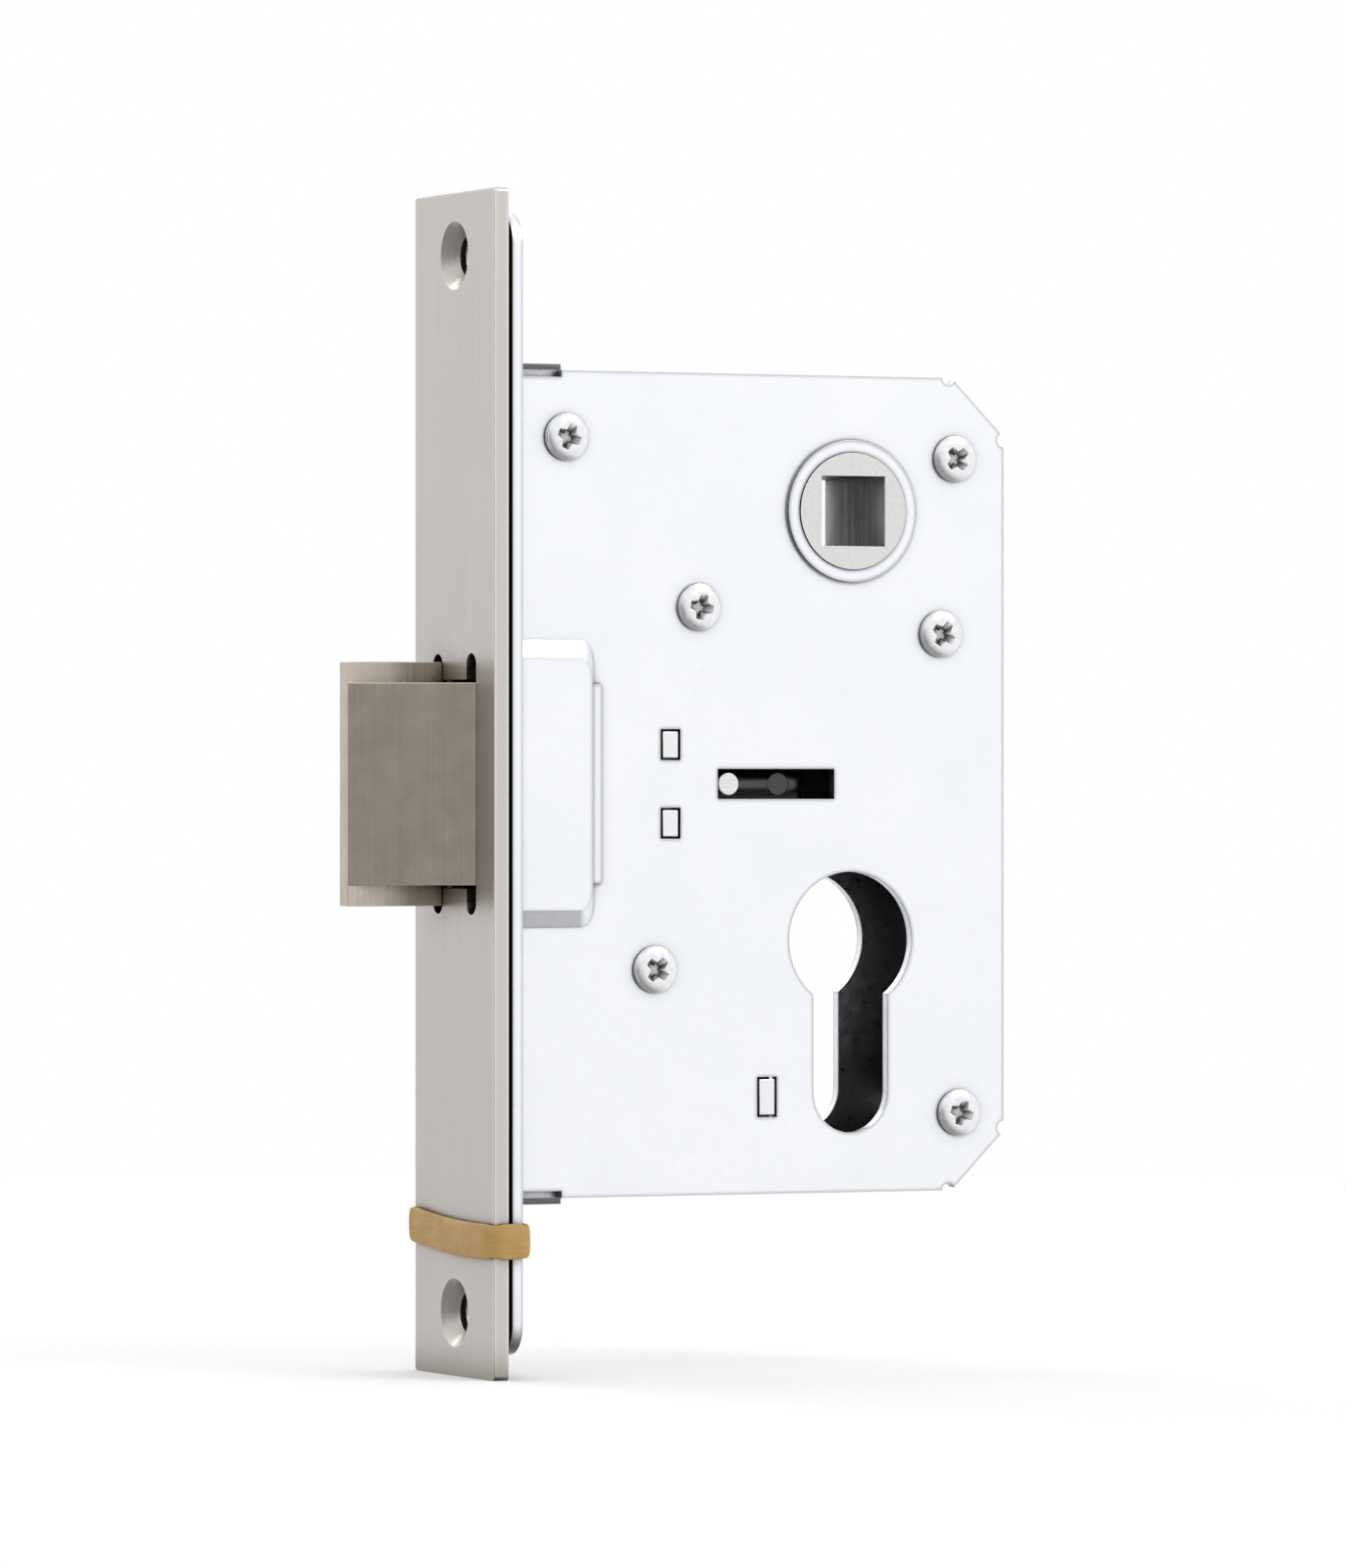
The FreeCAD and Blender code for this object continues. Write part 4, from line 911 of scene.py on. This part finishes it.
@dataclass
class CoverScrews:
    """The six screws that hold the cover, each left at its own angle by the driver."""

    node: str = "cover_screws"
    left_at: tuple[float, ...] = (22.0, 48.0, 12.0, 33.0, 40.0, 17.0)
    shank_radius: float = 1.75 * MM
    recess_edge: EdgeBreak = field(default_factory=lambda: EdgeBreak(0.05 * MM))

    def places(self, frame: dict[str, Any]) -> list[tuple[Vector, Vector]]:
        """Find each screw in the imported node.


        Returns:
            The lowest and highest corner of each screw, from the top down.
        """
        bm = bmesh.new()
        bm.from_mesh(frame["nodes"][self.node].data)
        bmesh.ops.remove_doubles(bm, verts=bm.verts, dist=TOUCHING)
        todo = set(bm.verts)
        found = []
        while todo:
            island, edge = set(), {todo.pop()}
            while edge:
                island |= edge
                edge = {e.other_vert(v) for v in edge for e in v.link_edges} - island
            todo -= island
            low = Vector(min(v.co[axis] for v in island) for axis in range(3))
            high = Vector(max(v.co[axis] for v in island) for axis in range(3))
            found.append((low, high))
        bm.free()
        return sorted(found, key=lambda place: (-place[0].z, place[0].x))

    def build(self, frame: dict[str, Any]) -> None:
        """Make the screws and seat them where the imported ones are."""
        places = self.places(frame)
        low, high = places[0]
        screw = CoverScrew((high.x - low.x) / 2, self.shank_radius, high.y - low.y)
        master = screw.make()
        material = ScrewZinc().mix()
        for number, ((low, high), degrees) in enumerate(zip(places, self.left_at), 1):
            mesh = master.copy()
            middle = (low + high) / 2
            seat = Vector((middle.x, low.y, middle.z))
            turn = Matrix.Rotation(math.radians(degrees), 4, "Y")
            mesh.transform(Matrix.Translation(seat) @ turn)
            mesh.materials.clear()
            mesh.materials.append(material)
            piece = put(f"cover_screw_{number}", mesh)
            self.recess_edge.soften(piece)
            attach(piece, "case")
            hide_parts(self.node)
            log.info("seated %s", piece.name)


@dataclass
class PackingBand:
    """The rubber band that keeps the loose faceplate on the lock until it is fitted."""

    node: str = "rubber_band"
    width: float = 4.5 * MM
    thickness: float = 1.1 * MM
    corner_radius: float = 1.7 * MM
    crown: float = 0.10 * MM
    sag: float = 0.55 * MM
    sag_level: float = 0.5
    waist: float = 0.10
    soft_edge: float = 0.22 * MM
    crown_share: float = 0.4
    ripple: float = 0.06 * MM
    ripple_across: float = 5.0
    ripple_along: float = 3.0
    steps_per_corner: int = 10
    steps_across: int = 34
    steps_deep: int = 8
    smoothing: int = 2

    def tilt(self, frame: dict[str, Any]) -> float:
        """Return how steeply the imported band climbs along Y."""
        points = [v.co for v in frame["nodes"][self.node].data.vertices]
        mean_y = sum(p.y for p in points) / len(points)
        mean_z = sum(p.z for p in points) / len(points)
        lean = sum((p.y - mean_y) * (p.z - mean_z) for p in points)
        return lean / sum((p.y - mean_y) ** 2 for p in points)

    def loop(self, low: Vector, high: Vector) -> list[tuple[Vector, Vector, float]]:
        """Walk round the strips along the middle of the band.

        Args:
            low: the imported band's lowest corner.
            high: its highest corner.

        Returns:
            For each step a point at height 0, the direction out of the band there, and how
            near the step is to a corner, from 0 to 1.
        """
        inset = self.thickness / 2 + self.crown
        radius = self.corner_radius
        centre = (low + high) / 2
        half_x = (high.x - low.x) / 2 - inset
        half_y = (high.y - low.y) / 2 - inset
        walk = []
        runs = ((1, 1), (-1, 1), (-1, -1), (1, -1))
        for number, (side_x, side_y) in enumerate(runs):
            hub = Vector((side_x * (half_x - radius), side_y * (half_y - radius), 0.0))
            for step in range(self.steps_per_corner + 1):
                share = step / self.steps_per_corner
                angle = FULL_TURN / 4 * (number + share)
                out = Vector((math.cos(angle), math.sin(angle), 0.0))
                walk.append((hub + out * radius, out, math.sin(math.pi * share)))
            next_x, next_y = runs[(number + 1) % 4]
            goal = Vector((next_x * (half_x - radius), next_y * (half_y - radius), 0.0))
            steps = self.steps_deep if side_x == next_x else self.steps_across
            for step in range(1, steps):
                walk.append((hub.lerp(goal, step / steps) + out * radius, out, 0.0))
        return [(Vector((centre.x, centre.y, 0.0)) + p, o, c) for p, o, c in walk]

    def section(self, near_corner: float) -> list[tuple[float, float]]:
        """Return the band's section as (out, up) points.

        Args:
            near_corner: 1 at the middle of a corner, where the band is stretched narrow.
        """
        half_width = self.width / 2 * (1.0 - self.waist * near_corner)
        half_thick = self.thickness / 2
        soft, raised = self.soft_edge, half_width * self.crown_share
        right = [
            (half_thick - soft, half_width),
            (half_thick, half_width - soft),
            (half_thick + self.crown, raised),
            (half_thick + self.crown, -raised),
            (half_thick, -half_width + soft),
            (half_thick - soft, -half_width),
        ]
        left = [(-out, up) for out, up in reversed(right)]
        return right + left

    def build(self, frame: dict[str, Any]) -> None:
        """Make the band and put it round the two strips."""
        low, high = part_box(self.node)
        slope = self.tilt(frame)
        middle = (low + high) / 2
        half_y = (high.y - low.y) / 2
        bm = bmesh.new()
        rings = []
        for place, out, near in self.loop(low, high):
            across = (place.y - middle.y) / half_y
            bow = self.sag * (across * across - self.sag_level)
            rise = middle.z + slope * (place.y - middle.y) + bow
            phase = self.ripple_across * across + self.ripple_along * out.x
            ripple = self.ripple * math.sin(phase)
            rings.append(
                [
                    bm.verts.new(place + out * (side + ripple) + Vector((0.0, 0.0, rise + up)))
                    for side, up in self.section(near)
                ]
            )
        for one, other in zip(rings, rings[1:] + rings[:1]):
            bridge(bm, one, other)
        bmesh.ops.recalc_face_normals(bm, faces=bm.faces)
        mesh = settle(bm, "packing_band")
        mesh.materials.append(BandRubber().mix())
        mesh.polygons.foreach_set("use_smooth", [True] * len(mesh.polygons))
        band = put("packing_band", mesh)
        smooth = band.modifiers.new("soft_rubber", "SUBSURF")
        smooth.levels = smooth.render_levels = self.smoothing
        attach(band, "case")
        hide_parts(self.node)
        log.info("stretched %s", band.name)


@dataclass
class Softbox:
    """A square lamp with a diffuser, aimed at the lock."""

    name: str
    place: Point
    size: float
    watts: float

    def hang(self, target: Vector) -> None:
        """Hang the lamp and aim it.

        Args:
            target: the point it is aimed at.
        """
        lamp = bpy.data.lights.new(self.name, "AREA")
        lamp.size = self.size
        lamp.energy = self.watts
        holder = put(self.name, lamp)
        holder.location = Vector(self.place)
        holder.rotation_euler = (target - holder.location).to_track_quat("-Z", "Y").to_euler()


@dataclass
class Studio:
    """The pale board, the white surroundings, the lamps and the camera."""

    azimuth: float = math.radians(-25.0)
    distance: float = 1.20
    lens: float = 215.0
    floor_radius: float = 0.7
    floor_rings: int = 24
    floor_sides: int = 96
    white: float = 1.0
    bright: float = 1.05
    dim: float = 0.36
    light_from: Point = (0.60, 0.15, 0.80)
    dim_end: float = -0.65
    bright_end: float = 0.05
    boxes: tuple[Softbox, ...] = (
        Softbox("key_softbox", (0.75, -0.95, 1.10), 0.70, 5.0),
        Softbox("side_softbox", (-0.20, 1.10, 0.90), 0.60, 3.0),
    )

    def lay_floor(self, low: Vector, high: Vector) -> None:
        """Lay the board under the lock.

        Args:
            low: the lock's lowest corner.
            high: its highest corner.
        """
        bm = bmesh.new()
        rings = [[bm.verts.new((0.0, 0.0, 0.0))]]
        for ring in range(1, self.floor_rings + 1):
            reach = self.floor_radius * ring / self.floor_rings
            angles = [FULL_TURN * n / self.floor_sides for n in range(self.floor_sides)]
            rings.append(
                [bm.verts.new((reach * math.cos(a), reach * math.sin(a), 0.0)) for a in angles]
            )
        for one, other in zip(rings, rings[1:]):
            bridge(bm, one, other)
        mesh = settle(bm, "studio_board")
        mesh.materials.append(PaleFloor().mix())
        board = put("studio_board", mesh)
        middle = (low + high) / 2
        board.location = (middle.x, middle.y, low.z)
        board.visible_glossy = False
        board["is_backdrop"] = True
        log.info("laid %s", board.name)

    def surround(self) -> None:
        """Light the lock from all round, less from the side where the camera stands."""
        world = bpy.data.worlds.new("studio")
        bpy.context.scene.world = world
        world.use_nodes = True
        nodes, links = world.node_tree.nodes, world.node_tree.links
        nodes.clear()
        place = nodes.new("ShaderNodeTexCoord")
        facing = nodes.new("ShaderNodeVectorMath")
        facing.operation = "DOT_PRODUCT"
        facing.inputs[1].default_value = Vector(self.light_from).normalized()
        links.new(place.outputs["Generated"], facing.inputs[0])
        fall = nodes.new("ShaderNodeMapRange")
        fall.interpolation_type = "SMOOTHSTEP"
        fall.inputs["From Min"].default_value = self.dim_end
        fall.inputs["From Max"].default_value = self.bright_end
        fall.inputs["To Min"].default_value = self.dim
        fall.inputs["To Max"].default_value = self.bright
        links.new(facing.outputs["Value"], fall.inputs["Value"])
        around = nodes.new("ShaderNodeBackground")
        links.new(fall.outputs["Result"], around.inputs["Strength"])
        sheet = nodes.new("ShaderNodeBackground")
        sheet.inputs["Strength"].default_value = self.white
        for background in (around, sheet):
            background.inputs["Color"].default_value = (1.0, 1.0, 1.0, 1.0)
        path = nodes.new("ShaderNodeLightPath")
        mix = nodes.new("ShaderNodeMixShader")
        links.new(path.outputs["Is Camera Ray"], mix.inputs["Fac"])
        links.new(around.outputs["Background"], mix.inputs[1])
        links.new(sheet.outputs["Background"], mix.inputs[2])
        output = nodes.new("ShaderNodeOutputWorld")
        links.new(mix.outputs["Shader"], output.inputs["Surface"])

    def set_camera(self, target: Vector) -> None:
        """Stand the camera level with the lock, on its forend side.

        Args:
            target: the point it looks at.
        """
        data = bpy.data.cameras.new("studio_camera")
        data.lens = self.lens
        camera = put("studio_camera", data)
        back = Vector((math.sin(self.azimuth), -math.cos(self.azimuth), 0.0))
        camera.location = target + back * self.distance
        camera.rotation_euler = (-back).to_track_quat("-Z", "Y").to_euler()
        bpy.context.scene.camera = camera

    def build(self, low: Vector, high: Vector) -> None:
        """Set up everything round the lock.

        Args:
            low: the lock's lowest corner.
            high: its highest corner.
        """
        middle = (low + high) / 2
        bpy.context.scene.view_settings.view_transform = "Standard"
        self.set_camera(middle)
        self.lay_floor(low, high)
        self.surround()
        for box in self.boxes:
            box.hang(middle)


def main() -> None:
    """Build the lock's sub-assemblies in order, then the studio."""
    logging.basicConfig(level=logging.INFO, format="%(name)s: %(message)s")
    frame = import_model()
    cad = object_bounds()
    for part in (Forend(), Case(), Latch(), Follower(), CoverScrews(), PackingBand()):
        part.build(frame)
        log.info("finished %s", type(part).__name__)
    Studio().build(*cad)


if __name__ == "__main__":
    main()
